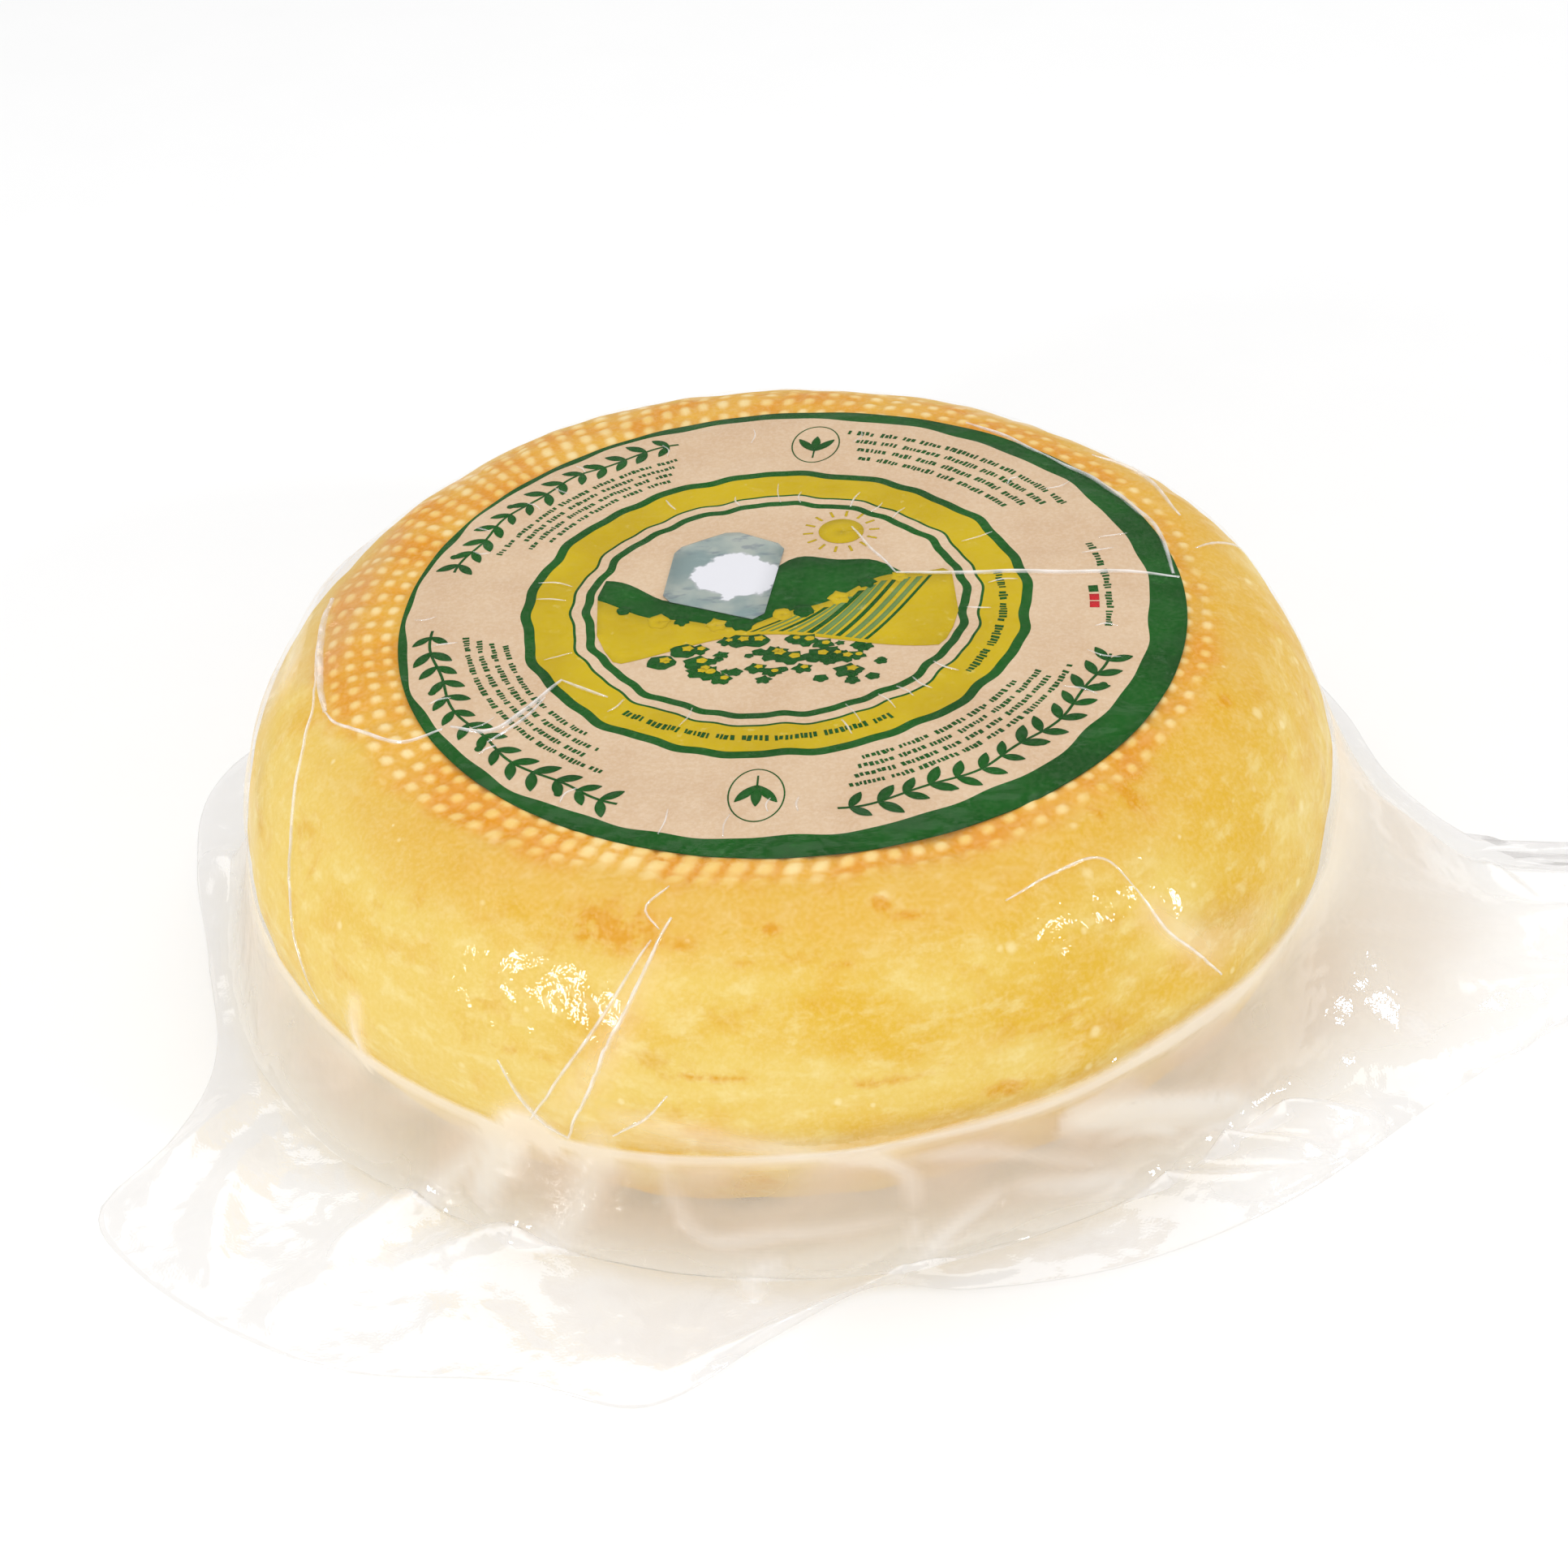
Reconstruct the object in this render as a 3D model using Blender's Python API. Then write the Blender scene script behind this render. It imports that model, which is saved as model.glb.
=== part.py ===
"""A young pecorino wheel with its round paper label and date sticker, vacuum packed in a clear bag.

Metres, +Z up. The origin is on the floor on the wheel's axis, and the front of the pack faces -Y.
"""
import math

import bmesh
import bpy
import numpy as np

MM = 0.001
HAIR = 0.01 * MM
FULL_TURN = 2.0 * math.pi

# Clearance between pieces that touch, and the film under the wheel
GAP = 0.3 * MM
BASE_FILM = 0.6 * MM

# The wheel: height of its flat top above the floor, and its outer side from the top's edge to the foot
TOP_Z = 63.3 * MM
FOOT_Z = BASE_FILM + GAP
TOP_EDGE_R = 66.0 * MM
WHEEL_SIDE_MM = (
    (66.0, 63.3), (72.0, 62.9), (80.0, 61.1), (88.0, 55.9), (94.5, 47.0), (98.5, 37.0),
    (99.5, 28.0), (97.5, 18.0), (92.0, 8.9), (84.0, 3.3), (74.0, 0.9),
)
WHEEL_STEPS = 112
SIDE_RINGS = 9

# The shoulder is fuller at the rear, where the curd was pressed unevenly
REAR_SWELL = 3.6 * MM
REAR_SWELL_AT = math.radians(99.0)
REAR_SWELL_WIDTH = math.radians(35.0)
SWELL_BOTTOM_Z = 30.0 * MM
SWELL_FULL_Z = 56.0 * MM
SWELL_BLEND = 10.0 * MM

# The basket's weave, pressed into the rim: raised dots in radial files, in rows along the slope
IMPRINT_DOTS = WHEEL_STEPS
IMPRINT_ROW = 3.5 * MM
IMPRINT_ROWS = 5
IMPRINT_DEPTH = 0.55 * MM
IMPRINT_START = 3.5 * MM
# How far the weave reaches down the slope from its first row, round the wheel: (degrees, mm)
IMPRINT_REACH = ((-150.0, 12.0), (-120.0, 9.0), (-90.0, 7.0), (-40.0, 6.0), (20.0, 8.0), (80.0, 14.0),
                 (130.0, 17.0), (175.0, 17.0))

# The paper label, cut off centre so that its printed rim is wider on the right
LABEL_RADIUS = 70.0 * MM
LABEL_THICK = 0.4 * MM
LABEL_CENTRE = (2.5 * MM, -0.9 * MM)
LABEL_STEPS = 96
LABEL_Z = TOP_Z + GAP

# The date sticker: a strip of tape with clipped corners
STICKER_SIZE = (19.0 * MM, 22.0 * MM)
STICKER_CLIP = 3.5 * MM
STICKER_THICK = 0.3 * MM
STICKER_CENTRE = (-9.4 * MM, 9.6 * MM)
STICKER_TURN = math.radians(-13.0)
STICKER_Z = LABEL_Z + LABEL_THICK + GAP

# The bag's edge on the floor, anticlockwise from the gathered mouth on the right (mm)
BAG_EDGE_MM = (
    (170.0, -8.0), (156.0, -13.0), (143.0, -14.0), (130.0, -3.0), (119.0, 18.0), (115.0, 40.0),
    (107.0, 60.0), (88.0, 84.0), (58.0, 103.0), (24.0, 113.0), (-14.0, 114.0), (-50.0, 104.0),
    (-80.0, 84.0), (-104.0, 62.0), (-118.0, 42.0), (-118.0, 16.0), (-112.0, -12.0), (-107.0, -40.0),
    (-112.0, -60.0), (-122.0, -76.0), (-114.0, -90.0), (-96.0, -105.0), (-76.0, -115.0),
    (-50.0, -119.0), (-29.0, -126.0), (-9.0, -114.0), (8.0, -105.0), (24.0, -107.0), (50.0, -104.0),
    (79.0, -92.0), (109.0, -71.0), (132.0, -57.0), (150.0, -55.0), (172.0, -62.0),
)
# Round the wheel: (degrees, height where the film leaves the rind, reach of its slope to the floor), mm
BAG_TENT = (
    (-165.0, 29.0, 109.0), (-145.0, 25.0, 107.0), (-125.0, 25.0, 104.0), (-110.0, 27.0, 102.5),
    (-90.0, 29.5, 103.5), (-70.0, 31.0, 103.5), (-50.0, 32.0, 106.0), (-36.0, 31.0, 116.0),
    (-25.0, 31.0, 140.0), (-16.0, 33.0, 150.0), (-6.0, 37.0, 127.0), (8.0, 42.0, 117.0),
    (25.0, 42.0, 113.0), (45.0, 34.0, 109.0), (70.0, 30.0, 107.0), (105.0, 30.0, 106.0),
    (135.0, 31.0, 107.0), (160.0, 31.0, 112.0), (178.0, 30.0, 110.0),
)
BAG_STEPS = 96
BAG_CROWD = 0.45
BAG_CROWD_AT = math.radians(-14.0)
BAG_WALL = 0.7 * MM
BAG_CLEARANCE = 0.6 * MM
TENT_CURVE = 1.7
SKIRT_Z = 1.6 * MM
EDGE_Z = 0.8 * MM
BASE_RING_R = 88.0 * MM
ROW_SPACING = 10.0 * MM
# Shares of the way from the rind to the slope's foot, and from there to the bag's edge
SLOPE_SHARES = (0.12, 0.28, 0.46, 0.64, 0.82, 1.0)
SKIRT_SHARES = (0.35, 0.7, 1.0)
# Shares of the way down the inner wall, from where the film leaves the rind to the wheel's foot
HUG_SHARES = (0.0, 0.17, 0.34, 0.5, 0.66, 0.82, 1.0)


def smooth_curve(points, per_span=16, closed=False):
    """A smooth curve through the points, as an array of points."""
    pts = np.array(points, float)
    if closed:
        pts = np.vstack([pts[-1], pts, pts[:2]])
    else:
        pts = np.vstack([2.0 * pts[0] - pts[1], pts, 2.0 * pts[-1] - pts[-2]])
    out = []
    for before, start, end, after in zip(pts, pts[1:], pts[2:], pts[3:]):
        for t in np.linspace(0.0, 1.0, per_span, endpoint=False):
            out.append(0.5 * (2.0 * start + (end - before) * t
                              + (2.0 * before - 5.0 * start + 4.0 * end - after) * t ** 2
                              + (3.0 * start - before - 3.0 * end + after) * t ** 3))
    if not closed:
        out.append(pts[-2])
    return np.array(out)


def ease(value, low, high):
    """0 below low, 1 above high, and a smooth rise between."""
    t = min(max((value - low) / (high - low), 0.0), 1.0)
    return t * t * (3.0 - 2.0 * t)


def around(stops, angle, column=1):
    """The stops' value at an angle, in metres, with a smooth passage from each stop to the next."""
    degrees = (math.degrees(angle) + 180.0) % 360.0 - 180.0
    wrapped = [(stops[-1][0] - 360.0, stops[-1][column])]
    wrapped += [(stop[0], stop[column]) for stop in stops]
    wrapped += [(stops[0][0] + 360.0, stops[0][column])]
    for (low, first), (high, last) in zip(wrapped, wrapped[1:]):
        if low <= degrees <= high:
            return (first + (last - first) * ease(degrees, low, high)) * MM
    return wrapped[0][1] * MM


SIDE = smooth_curve(WHEEL_SIDE_MM) * MM
SIDE_LENGTH = np.concatenate([[0.0], np.cumsum(np.hypot(*np.diff(SIDE, axis=0).T))])


def side_point(along):
    """Radius and height of the wheel's side at a distance down it from the top's edge."""
    return (float(np.interp(along, SIDE_LENGTH, SIDE[:, 0])),
            float(np.interp(along, SIDE_LENGTH, SIDE[:, 1])))


def side_along(z):
    """The distance down the side at which it has a height."""
    return float(np.interp(z, SIDE[::-1, 1], SIDE_LENGTH[::-1]))


def side_normal(along):
    """The side's outward direction, as radius and height, at a distance down it."""
    before = np.array(side_point(along - 0.5 * MM))
    step_r, step_z = np.array(side_point(along + 0.5 * MM)) - before
    length = math.hypot(step_r, step_z)
    return -step_z / length, step_r / length


def swell(angle, z):
    """How much the wheel is fuller than round, at an angle and a height."""
    turned = (angle - REAR_SWELL_AT + math.pi) % FULL_TURN - math.pi
    lobe = math.exp(-(turned / REAR_SWELL_WIDTH) ** 2)
    return REAR_SWELL * lobe * ease(z, SWELL_BOTTOM_Z, SWELL_FULL_Z)


def spun_section(section, steps):
    """A bmesh of the section's (radius, height) points spun round the axis, with its poles closed."""
    mesh = bmesh.new()
    verts = [mesh.verts.new((radius, 0.0, z)) for radius, z in section]
    edges = [mesh.edges.new(pair) for pair in zip(verts, verts[1:])]
    bmesh.ops.spin(mesh, geom=verts + edges, cent=(0.0, 0.0, 0.0), axis=(0.0, 0.0, 1.0),
                   angle=FULL_TURN, steps=steps, use_merge=True)
    bmesh.ops.remove_doubles(mesh, verts=mesh.verts[:], dist=0.01 * HAIR)
    return mesh


def paint(name, colour, roughness):
    """A plain surface colour."""
    material = bpy.data.materials.new(name)
    material.use_nodes = True
    shader = material.node_tree.nodes["Principled BSDF"]
    shader.inputs["Base Color"].default_value = (*colour, 1.0)
    shader.inputs["Roughness"].default_value = roughness
    return material


def finished(name, mesh, collection, material):
    """The named object of a bmesh, with its faces pointing out."""
    bmesh.ops.recalc_face_normals(mesh, faces=mesh.faces[:])
    data = bpy.data.meshes.new(name)
    mesh.to_mesh(data)
    mesh.free()
    data.shade_smooth()
    data.set_sharp_from_angle(angle=math.radians(40.0))
    data.materials.append(material)
    part = bpy.data.objects.new(name, data)
    collection.objects.link(part)
    return part


def imprint(along, angle):
    """The woven basket's relief, at or below the surface, at a distance down the side and an angle."""
    row = (along - IMPRINT_START) / IMPRINT_ROW
    reach = around(IMPRINT_REACH, angle)
    fade = ease(row, -1.0, 0.0) * (1.0 - ease(along - IMPRINT_START, reach - IMPRINT_ROW, reach))
    across = 0.5 + 0.5 * math.cos(IMPRINT_DOTS * angle)
    down = 0.5 + 0.5 * math.cos(FULL_TURN * row)
    return -IMPRINT_DEPTH * fade * (1.0 - across * down)


def cheese_wheel(collection):
    """The pressed wheel, its side turned, its rim embossed by the basket."""
    weave = [IMPRINT_START + IMPRINT_ROW * 0.5 * i for i in range(2 * IMPRINT_ROWS)]
    plain = np.linspace(weave[-1], SIDE_LENGTH[-1], SIDE_RINGS + 1)[1:]
    section = [(0.0, TOP_Z), (TOP_EDGE_R, TOP_Z)]
    section += [side_point(along) for along in weave]
    section += [side_point(along) for along in plain]
    section += [(0.0, FOOT_Z)]
    mesh = spun_section(section, WHEEL_STEPS)

    inner, outer = side_point(weave[0]), side_point(weave[-1])

    def in_weave(vert):
        return (inner[0] - HAIR <= math.hypot(vert.co.x, vert.co.y) <= outer[0] + HAIR
                and vert.co.z >= outer[1] - HAIR)

    rim_edges = [edge for edge in mesh.edges
                 if all(in_weave(vert) for vert in edge.verts)
                 and abs(edge.verts[0].co.z - edge.verts[1].co.z) < HAIR]
    bmesh.ops.subdivide_edges(mesh, edges=rim_edges, cuts=1, use_grid_fill=True)

    for vert in mesh.verts:
        radius = math.hypot(vert.co.x, vert.co.y)
        if radius < HAIR or vert.co.z < SWELL_BOTTOM_Z:
            continue
        angle = math.atan2(vert.co.y, vert.co.x)
        fuller = swell(angle, vert.co.z) * ease(radius, TOP_EDGE_R, TOP_EDGE_R + SWELL_BLEND)
        relief, slope_out, slope_up = 0.0, 0.0, 1.0
        if in_weave(vert):
            along = side_along(vert.co.z)
            relief = imprint(along, angle)
            slope_out, slope_up = side_normal(along)
        grown = radius + fuller + relief * slope_out
        vert.co.x *= grown / radius
        vert.co.y *= grown / radius
        vert.co.z += relief * slope_up
    rind = paint("rind", (0.86, 0.60, 0.17), 0.45)
    return finished("cheese_wheel", mesh, collection, rind)


def round_label(collection):
    """The printed paper disc on the wheel's flat top."""
    mesh = bmesh.new()
    bmesh.ops.create_cone(mesh, cap_ends=True, segments=LABEL_STEPS, radius1=LABEL_RADIUS,
                          radius2=LABEL_RADIUS, depth=LABEL_THICK)
    bmesh.ops.translate(mesh, verts=mesh.verts[:], vec=(*LABEL_CENTRE, LABEL_Z + 0.5 * LABEL_THICK))
    paper = paint("printed_paper", (0.84, 0.64, 0.45), 0.6)
    return finished("round_label", mesh, collection, paper)


def date_sticker(collection):
    """The small strip of tape that carries the date, stuck on the label."""
    mesh = bmesh.new()
    bmesh.ops.create_cube(mesh, size=1.0)
    bmesh.ops.scale(mesh, verts=mesh.verts[:], vec=(*STICKER_SIZE, STICKER_THICK))
    corners = [edge for edge in mesh.edges
               if abs(edge.verts[0].co.z - edge.verts[1].co.z) > 0.5 * STICKER_THICK]
    bmesh.ops.bevel(mesh, geom=corners, offset=STICKER_CLIP, affect="EDGES", segments=2,
                    profile=0.5, material=-1)
    part = finished("date_sticker", mesh, collection, paint("sticker", (0.62, 0.68, 0.70), 0.5))
    part.location = (*STICKER_CENTRE, STICKER_Z + 0.5 * STICKER_THICK)
    part.rotation_euler = (0.0, 0.0, STICKER_TURN)
    return part


def edge_reach():
    """Angles round the wheel and the bag's reach at each, in order of angle."""
    outline = smooth_curve(BAG_EDGE_MM, closed=True) * MM
    angles = np.arctan2(outline[:, 1], outline[:, 0])
    order = np.argsort(angles)
    return angles[order], np.hypot(*outline[order].T)


def crowded(angle):
    """Brings the bag's radial lines closer together at its narrow mouth."""
    return angle - BAG_CROWD * math.sin(angle - BAG_CROWD_AT)


def bag_rows():
    """The bag's rows of points, in order from its upper edge outside, round below, and back inside."""
    rows = [("slope", share) for share in (0.0, *SLOPE_SHARES)]
    rows += [("skirt", share) for share in SKIRT_SHARES]
    rows += [("edge", 0.0), ("base", 0.0), ("base middle", 0.0), ("floor middle", 0.0)]
    rows += [("hug", share) for share in reversed(HUG_SHARES)]
    return rows


def bag_point(kind, share, angle, reach):
    """Radius and height of a point of the bag, on a row and at an angle."""
    leave_z = around(BAG_TENT, angle, 1)
    foot = around(BAG_TENT, angle, 2)
    leave = side_along(leave_z)
    if kind == "slope":
        start = side_point(leave)[0] + swell(angle, leave_z) + BAG_CLEARANCE + BAG_WALL
        fall = (1.0 - share) ** TENT_CURVE
        return start + (foot - start) * share, SKIRT_Z + (leave_z - SKIRT_Z) * fall
    if kind == "skirt":
        return foot + (reach - foot) * share, SKIRT_Z + (EDGE_Z - SKIRT_Z) * share
    if kind == "hug":
        along = leave + (SIDE_LENGTH[-1] - leave) * share
        out, up = side_normal(along)
        radius, z = side_point(along)
        radius += swell(angle, z) + BAG_CLEARANCE * out
        return radius, max(z + BAG_CLEARANCE * up, BASE_FILM)
    return {"edge": (reach, 0.0), "base": (BASE_RING_R, 0.0), "base middle": (0.0, 0.0),
            "floor middle": (0.0, BASE_FILM)}[kind]


def vacuum_bag(collection):
    """The clear bag below the belly: base, the slope from the rind to the floor, skirt and mouth."""
    rows = bag_rows()
    # A plain stepped section is spun first, and its points then take their places row by row
    section = [(0.0 if "middle" in kind else ROW_SPACING, ROW_SPACING * index)
               for index, (kind, _) in enumerate(rows)]
    mesh = spun_section(section, BAG_STEPS)
    reach_angles, reaches = edge_reach()
    for vert in mesh.verts:
        kind, share = rows[round(vert.co.z / ROW_SPACING)]
        angle = crowded(math.atan2(vert.co.y, vert.co.x))
        reach = float(np.interp(angle, reach_angles, reaches, period=FULL_TURN))
        radius, z = bag_point(kind, share, angle, reach)
        vert.co = (radius * math.cos(angle), radius * math.sin(angle), z)
    bmesh.ops.bridge_loops(mesh, edges=[edge for edge in mesh.edges if edge.is_boundary])
    film = paint("clear_film", (0.86, 0.86, 0.84), 0.15)
    return finished("vacuum_bag", mesh, collection, film)


def build():
    for thing in list(bpy.data.objects):
        bpy.data.objects.remove(thing, do_unlink=True)
    collection = bpy.data.collections.new("pecorino_wheel")
    bpy.context.scene.collection.children.link(collection)
    cheese_wheel(collection)
    round_label(collection)
    date_sticker(collection)
    vacuum_bag(collection)


build()
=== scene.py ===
import math
from math import cos, hypot, pi, sin

import bmesh
import bpy
import numpy as np
from mathutils import Matrix, Vector
from mathutils.bvhtree import BVHTree


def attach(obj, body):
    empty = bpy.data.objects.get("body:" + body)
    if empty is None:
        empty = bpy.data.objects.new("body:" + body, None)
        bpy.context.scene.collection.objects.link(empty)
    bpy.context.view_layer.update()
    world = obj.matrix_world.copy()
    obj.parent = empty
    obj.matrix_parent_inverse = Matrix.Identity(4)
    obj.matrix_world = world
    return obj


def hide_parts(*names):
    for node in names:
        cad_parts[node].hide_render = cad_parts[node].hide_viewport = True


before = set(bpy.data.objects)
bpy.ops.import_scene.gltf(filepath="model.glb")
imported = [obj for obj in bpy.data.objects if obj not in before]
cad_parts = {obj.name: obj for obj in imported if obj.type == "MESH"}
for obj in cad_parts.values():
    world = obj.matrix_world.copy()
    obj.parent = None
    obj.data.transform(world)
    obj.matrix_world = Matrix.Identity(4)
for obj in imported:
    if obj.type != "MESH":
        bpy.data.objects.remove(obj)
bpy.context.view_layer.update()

# The cheese: a young pressed wheel of ewe's milk curd whose thin rind is still soft and golden.
# The draining basket left its weave round the rim, and below it the side is mottled and speckled.
# It is turned from the curve of its side, then made uneven and embossed.
MM = 0.001
FULL_TURN = 2 * pi
FOOT_Z = 0.9 * MM
TOP_EDGE_R = 66 * MM
WHEEL_SIDE_MM = (
    (66, 63.3), (72, 62.9), (80, 61.1), (88, 55.9), (94.5, 47), (98.5, 37),
    (99.5, 28), (97.5, 18), (92, 8.9), (84, 3.3), (74, 0.9),
)
WHEEL_STEPS = 672
REAR_SWELL = 3.6 * MM
REAR_SWELL_AT = math.radians(99)
REAR_SWELL_WIDTH = math.radians(35)
UNEVEN_LONG = 0.30 * MM
UNEVEN_SHORT = 0.09 * MM
RIND_CLEARANCE = 0.45 * MM
# The basket's weave: dots in radial files, in rows down the slope
WEAVE_DOTS = 112
WEAVE_ROW = 3.5 * MM
WEAVE_START = 3.5 * MM
WEAVE_DEPTH = 0.6 * MM
WEAVE_STRAY = 0.7
# Where the dots lean into teeth, run into stripes and part into beads: degrees round, and width
WEAVE_TEETH = (-105, 34)
WEAVE_STRIPES = (125, 38)
WEAVE_BEADS = (-30, 48)
# How far the weave reaches down the slope: degrees round, and millimetres
WEAVE_REACH = ((-150, 12), (-120, 9), (-90, 9), (-40, 11), (20, 10), (80, 14),
               (130, 17), (175, 17))


def smooth_curve(points, per_span=16, closed=False):
    """A smooth curve through the points, as an array of points."""
    pts = np.array(points, float)
    if closed:
        pts = np.vstack([pts[-1], pts, pts[:2]])
    else:
        pts = np.vstack([2 * pts[0] - pts[1], pts, 2 * pts[-1] - pts[-2]])
    out = []
    for before, start, end, after in zip(pts, pts[1:], pts[2:], pts[3:]):
        for t in np.linspace(0, 1, per_span, endpoint=False):
            out.append(0.5 * (2 * start + (end - before) * t
                              + (2 * before - 5 * start + 4 * end - after) * t ** 2
                              + (3 * start - before - 3 * end + after) * t ** 3))
    if not closed:
        out.append(pts[-2])
    return np.array(out)


def ease(value, low, high):
    """0 below low, 1 above high, and a smooth rise between."""
    t = np.clip((value - low) / (high - low), 0, 1)
    return t * t * (3 - 2 * t)


def around(stops, angle, column=1):
    """The stops' value at angles round the wheel, in metres, easing from each stop to the next."""
    table = np.array(stops, float)
    at = np.concatenate([[table[-1, 0] - 360], table[:, 0], [table[0, 0] + 360]])
    value = np.concatenate([[table[-1, column]], table[:, column], [table[0, column]]])
    degrees = (np.degrees(angle) + 180) % 360 - 180
    span = np.clip(np.searchsorted(at, degrees) - 1, 0, len(at) - 2)
    t = ease(degrees, at[span], at[span + 1])
    return (value[span] + (value[span + 1] - value[span]) * t) * MM


def waves(points, wavelength, seed, count=14):
    """A seeded random unevenness about zero, of crossing waves near one wavelength."""
    rng = np.random.default_rng(seed)
    ways = rng.normal(size=(count, 3))
    ways /= np.linalg.norm(ways, axis=1)[:, None]
    lengths = wavelength * rng.uniform(0.7, 1.6, count)
    phases = rng.uniform(0, FULL_TURN, count)
    heights = np.sin(FULL_TURN * points @ (ways / lengths[:, None]).T + phases)
    return heights.sum(axis=1) / math.sqrt(count / 2)


def xyz(radius, angle, z):
    """Points from radii, angles and heights."""
    radius, angle, z = np.broadcast_arrays(radius, angle, z)
    return np.stack([radius * np.cos(angle), radius * np.sin(angle), z], axis=-1)


SIDE = smooth_curve(WHEEL_SIDE_MM) * MM
SIDE_LENGTH = np.concatenate([[0], np.cumsum(np.hypot(*np.diff(SIDE, axis=0).T))])
SIDE_END = SIDE_LENGTH[-1]


def side_point(along):
    """Radius and height of the wheel's side at a distance down it from the top's edge."""
    return np.interp(along, SIDE_LENGTH, SIDE[:, 0]), np.interp(along, SIDE_LENGTH, SIDE[:, 1])


def side_along(z):
    """The distance down the side at which it has a height."""
    return np.interp(z, SIDE[::-1, 1], SIDE_LENGTH[::-1])


def side_normal(along):
    """The side's outward direction, as radius and height."""
    r0, z0 = side_point(along - 0.5 * MM)
    r1, z1 = side_point(along + 0.5 * MM)
    length = np.hypot(r1 - r0, z1 - z0)
    return (z0 - z1) / length, (r1 - r0) / length


def swell(angle, radius, z):
    """How much fuller the wheel is at the rear, where the curd was pressed unevenly."""
    turned = (angle - REAR_SWELL_AT + pi) % FULL_TURN - pi
    lobe = np.exp(-(turned / REAR_SWELL_WIDTH) ** 2)
    outside = ease(radius, TOP_EDGE_R, TOP_EDGE_R + 10 * MM)
    return REAR_SWELL * lobe * ease(z, 30 * MM, 56 * MM) * outside


def rind_point(angle, along, lift):
    """Points of the wheel's side, raised along its normal."""
    radius, z = side_point(along)
    out, up = side_normal(along)
    radius = radius + swell(angle, radius, z)
    fade = ease(along, 2 * MM, 14 * MM) * (1 - ease(along, SIDE_END - 24 * MM, SIDE_END - 8 * MM))
    uneven = UNEVEN_LONG * fade * waves(xyz(radius, angle, z), 34 * MM, 5)
    raised = lift + uneven
    return xyz(radius + raised * out, angle, z + raised * up)


TOP_MIDDLE = 30 * MM


def turned(row_count, steps, place, closed_end=True):
    """A grid rolled round the axis; place gives the points from rows and angles."""
    mesh = bmesh.new()
    last = row_count - 1
    bmesh.ops.create_grid(mesh, x_segments=steps, y_segments=last, size=0.5)
    for vert in mesh.verts:
        row = round((vert.co.y + 0.5) * last)
        turn = FULL_TURN * round((vert.co.x + 0.5) * steps) / steps
        reach = 0 if row == 0 or (row == last and closed_end) else 1
        vert.co = (reach * cos(turn), reach * sin(turn), -float(row))
    bmesh.ops.remove_doubles(mesh, verts=mesh.verts[:], dist=0.0001)
    rows = np.array([round(-vert.co.z) for vert in mesh.verts])
    angles = np.array([math.atan2(vert.co.y, vert.co.x) for vert in mesh.verts])
    for vert, point in zip(mesh.verts, place(rows, angles)):
        vert.co = point
    bmesh.ops.recalc_face_normals(mesh, faces=mesh.faces[:])
    mesh.faces.ensure_lookup_table()
    tops = [face for face in mesh.faces if face.calc_center_median().xy.length < TOP_MIDDLE]
    if max(tops, key=lambda face: face.calc_center_median().z).normal.z < 0:
        bmesh.ops.reverse_faces(mesh, faces=mesh.faces[:])
    return mesh, rows, angles


def linked(name, data):
    """A new object in the scene, at the origin."""
    thing = bpy.data.objects.new(name, data)
    bpy.context.scene.collection.objects.link(thing)
    return thing


def finished(name, mesh, materials):
    """The object made of a bmesh."""
    data = bpy.data.meshes.new(name)
    mesh.to_mesh(data)
    mesh.free()
    data.shade_smooth()
    for material in materials:
        data.materials.append(material)
    return linked(name, data)


def settled(name, mesh, materials, values=None):
    """A piece of the pack, riding on its one body, with its named numbers per corner."""
    piece = finished(name, mesh, materials)
    for key, numbers in (values or {}).items():
        layer = piece.data.attributes.new(key, "FLOAT", "POINT")
        layer.data.foreach_set("value", np.asarray(numbers, np.float32))
    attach(piece, "root")
    return piece


def tone(red, green, blue):
    """A colour as the eye reads it from 0 to 255, for a shader."""
    parts = np.array([red, green, blue], float) / 255
    linear = np.where(parts <= 0.04045, parts / 12.92, ((parts + 0.055) / 1.055) ** 2.4)
    return (*[float(part) for part in linear], 1)


def add(tree, kind, inputs=(), **settings):
    """A new shader node's first output; its inputs are given by name or in order."""
    node = tree.nodes.new("ShaderNode" + kind)
    for key, value in settings.items():
        setattr(node, key, value)
    pairs = inputs.items() if isinstance(inputs, dict) else enumerate(inputs)
    for key, value in pairs:
        if isinstance(value, bpy.types.NodeSocket):
            tree.links.new(value, node.inputs[key])
        else:
            node.inputs[key].default_value = value
    return node.outputs[0] if node.outputs else None


def product(tree, first, second):
    """Two numbers multiplied."""
    return add(tree, "Math", [first, second], operation="MULTIPLY")


def scaled(tree, value, factor, more):
    """A number times a factor, and more added to it."""
    return add(tree, "Math", [value, factor, more], operation="MULTIPLY_ADD")


def own(tree, name):
    """One of the numbers that a piece has at each corner."""
    return add(tree, "Attribute", attribute_name=name).node.outputs["Fac"]


def shown(tree, shader):
    """Links a shader to the material's output."""
    add(tree, "OutputMaterial", [shader])


def blended(tree, share, first, second):
    """A colour that passes from the first to the second with the share."""
    return add(tree, "Mix", {0: share, 6: first, 7: second}, data_type="RGBA").node.outputs[2]


def between(tree, value, low, high, start=0, end=1):
    """Start below low, end above high, and a smooth passage between."""
    return add(tree, "MapRange", [value, low, high, start, end], interpolation_type="SMOOTHSTEP")


def fresh_material(name):
    """A material with an empty node tree, and that tree."""
    material = bpy.data.materials.new(name)
    material.use_nodes = True
    material.node_tree.nodes.clear()
    return material, material.node_tree


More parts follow.
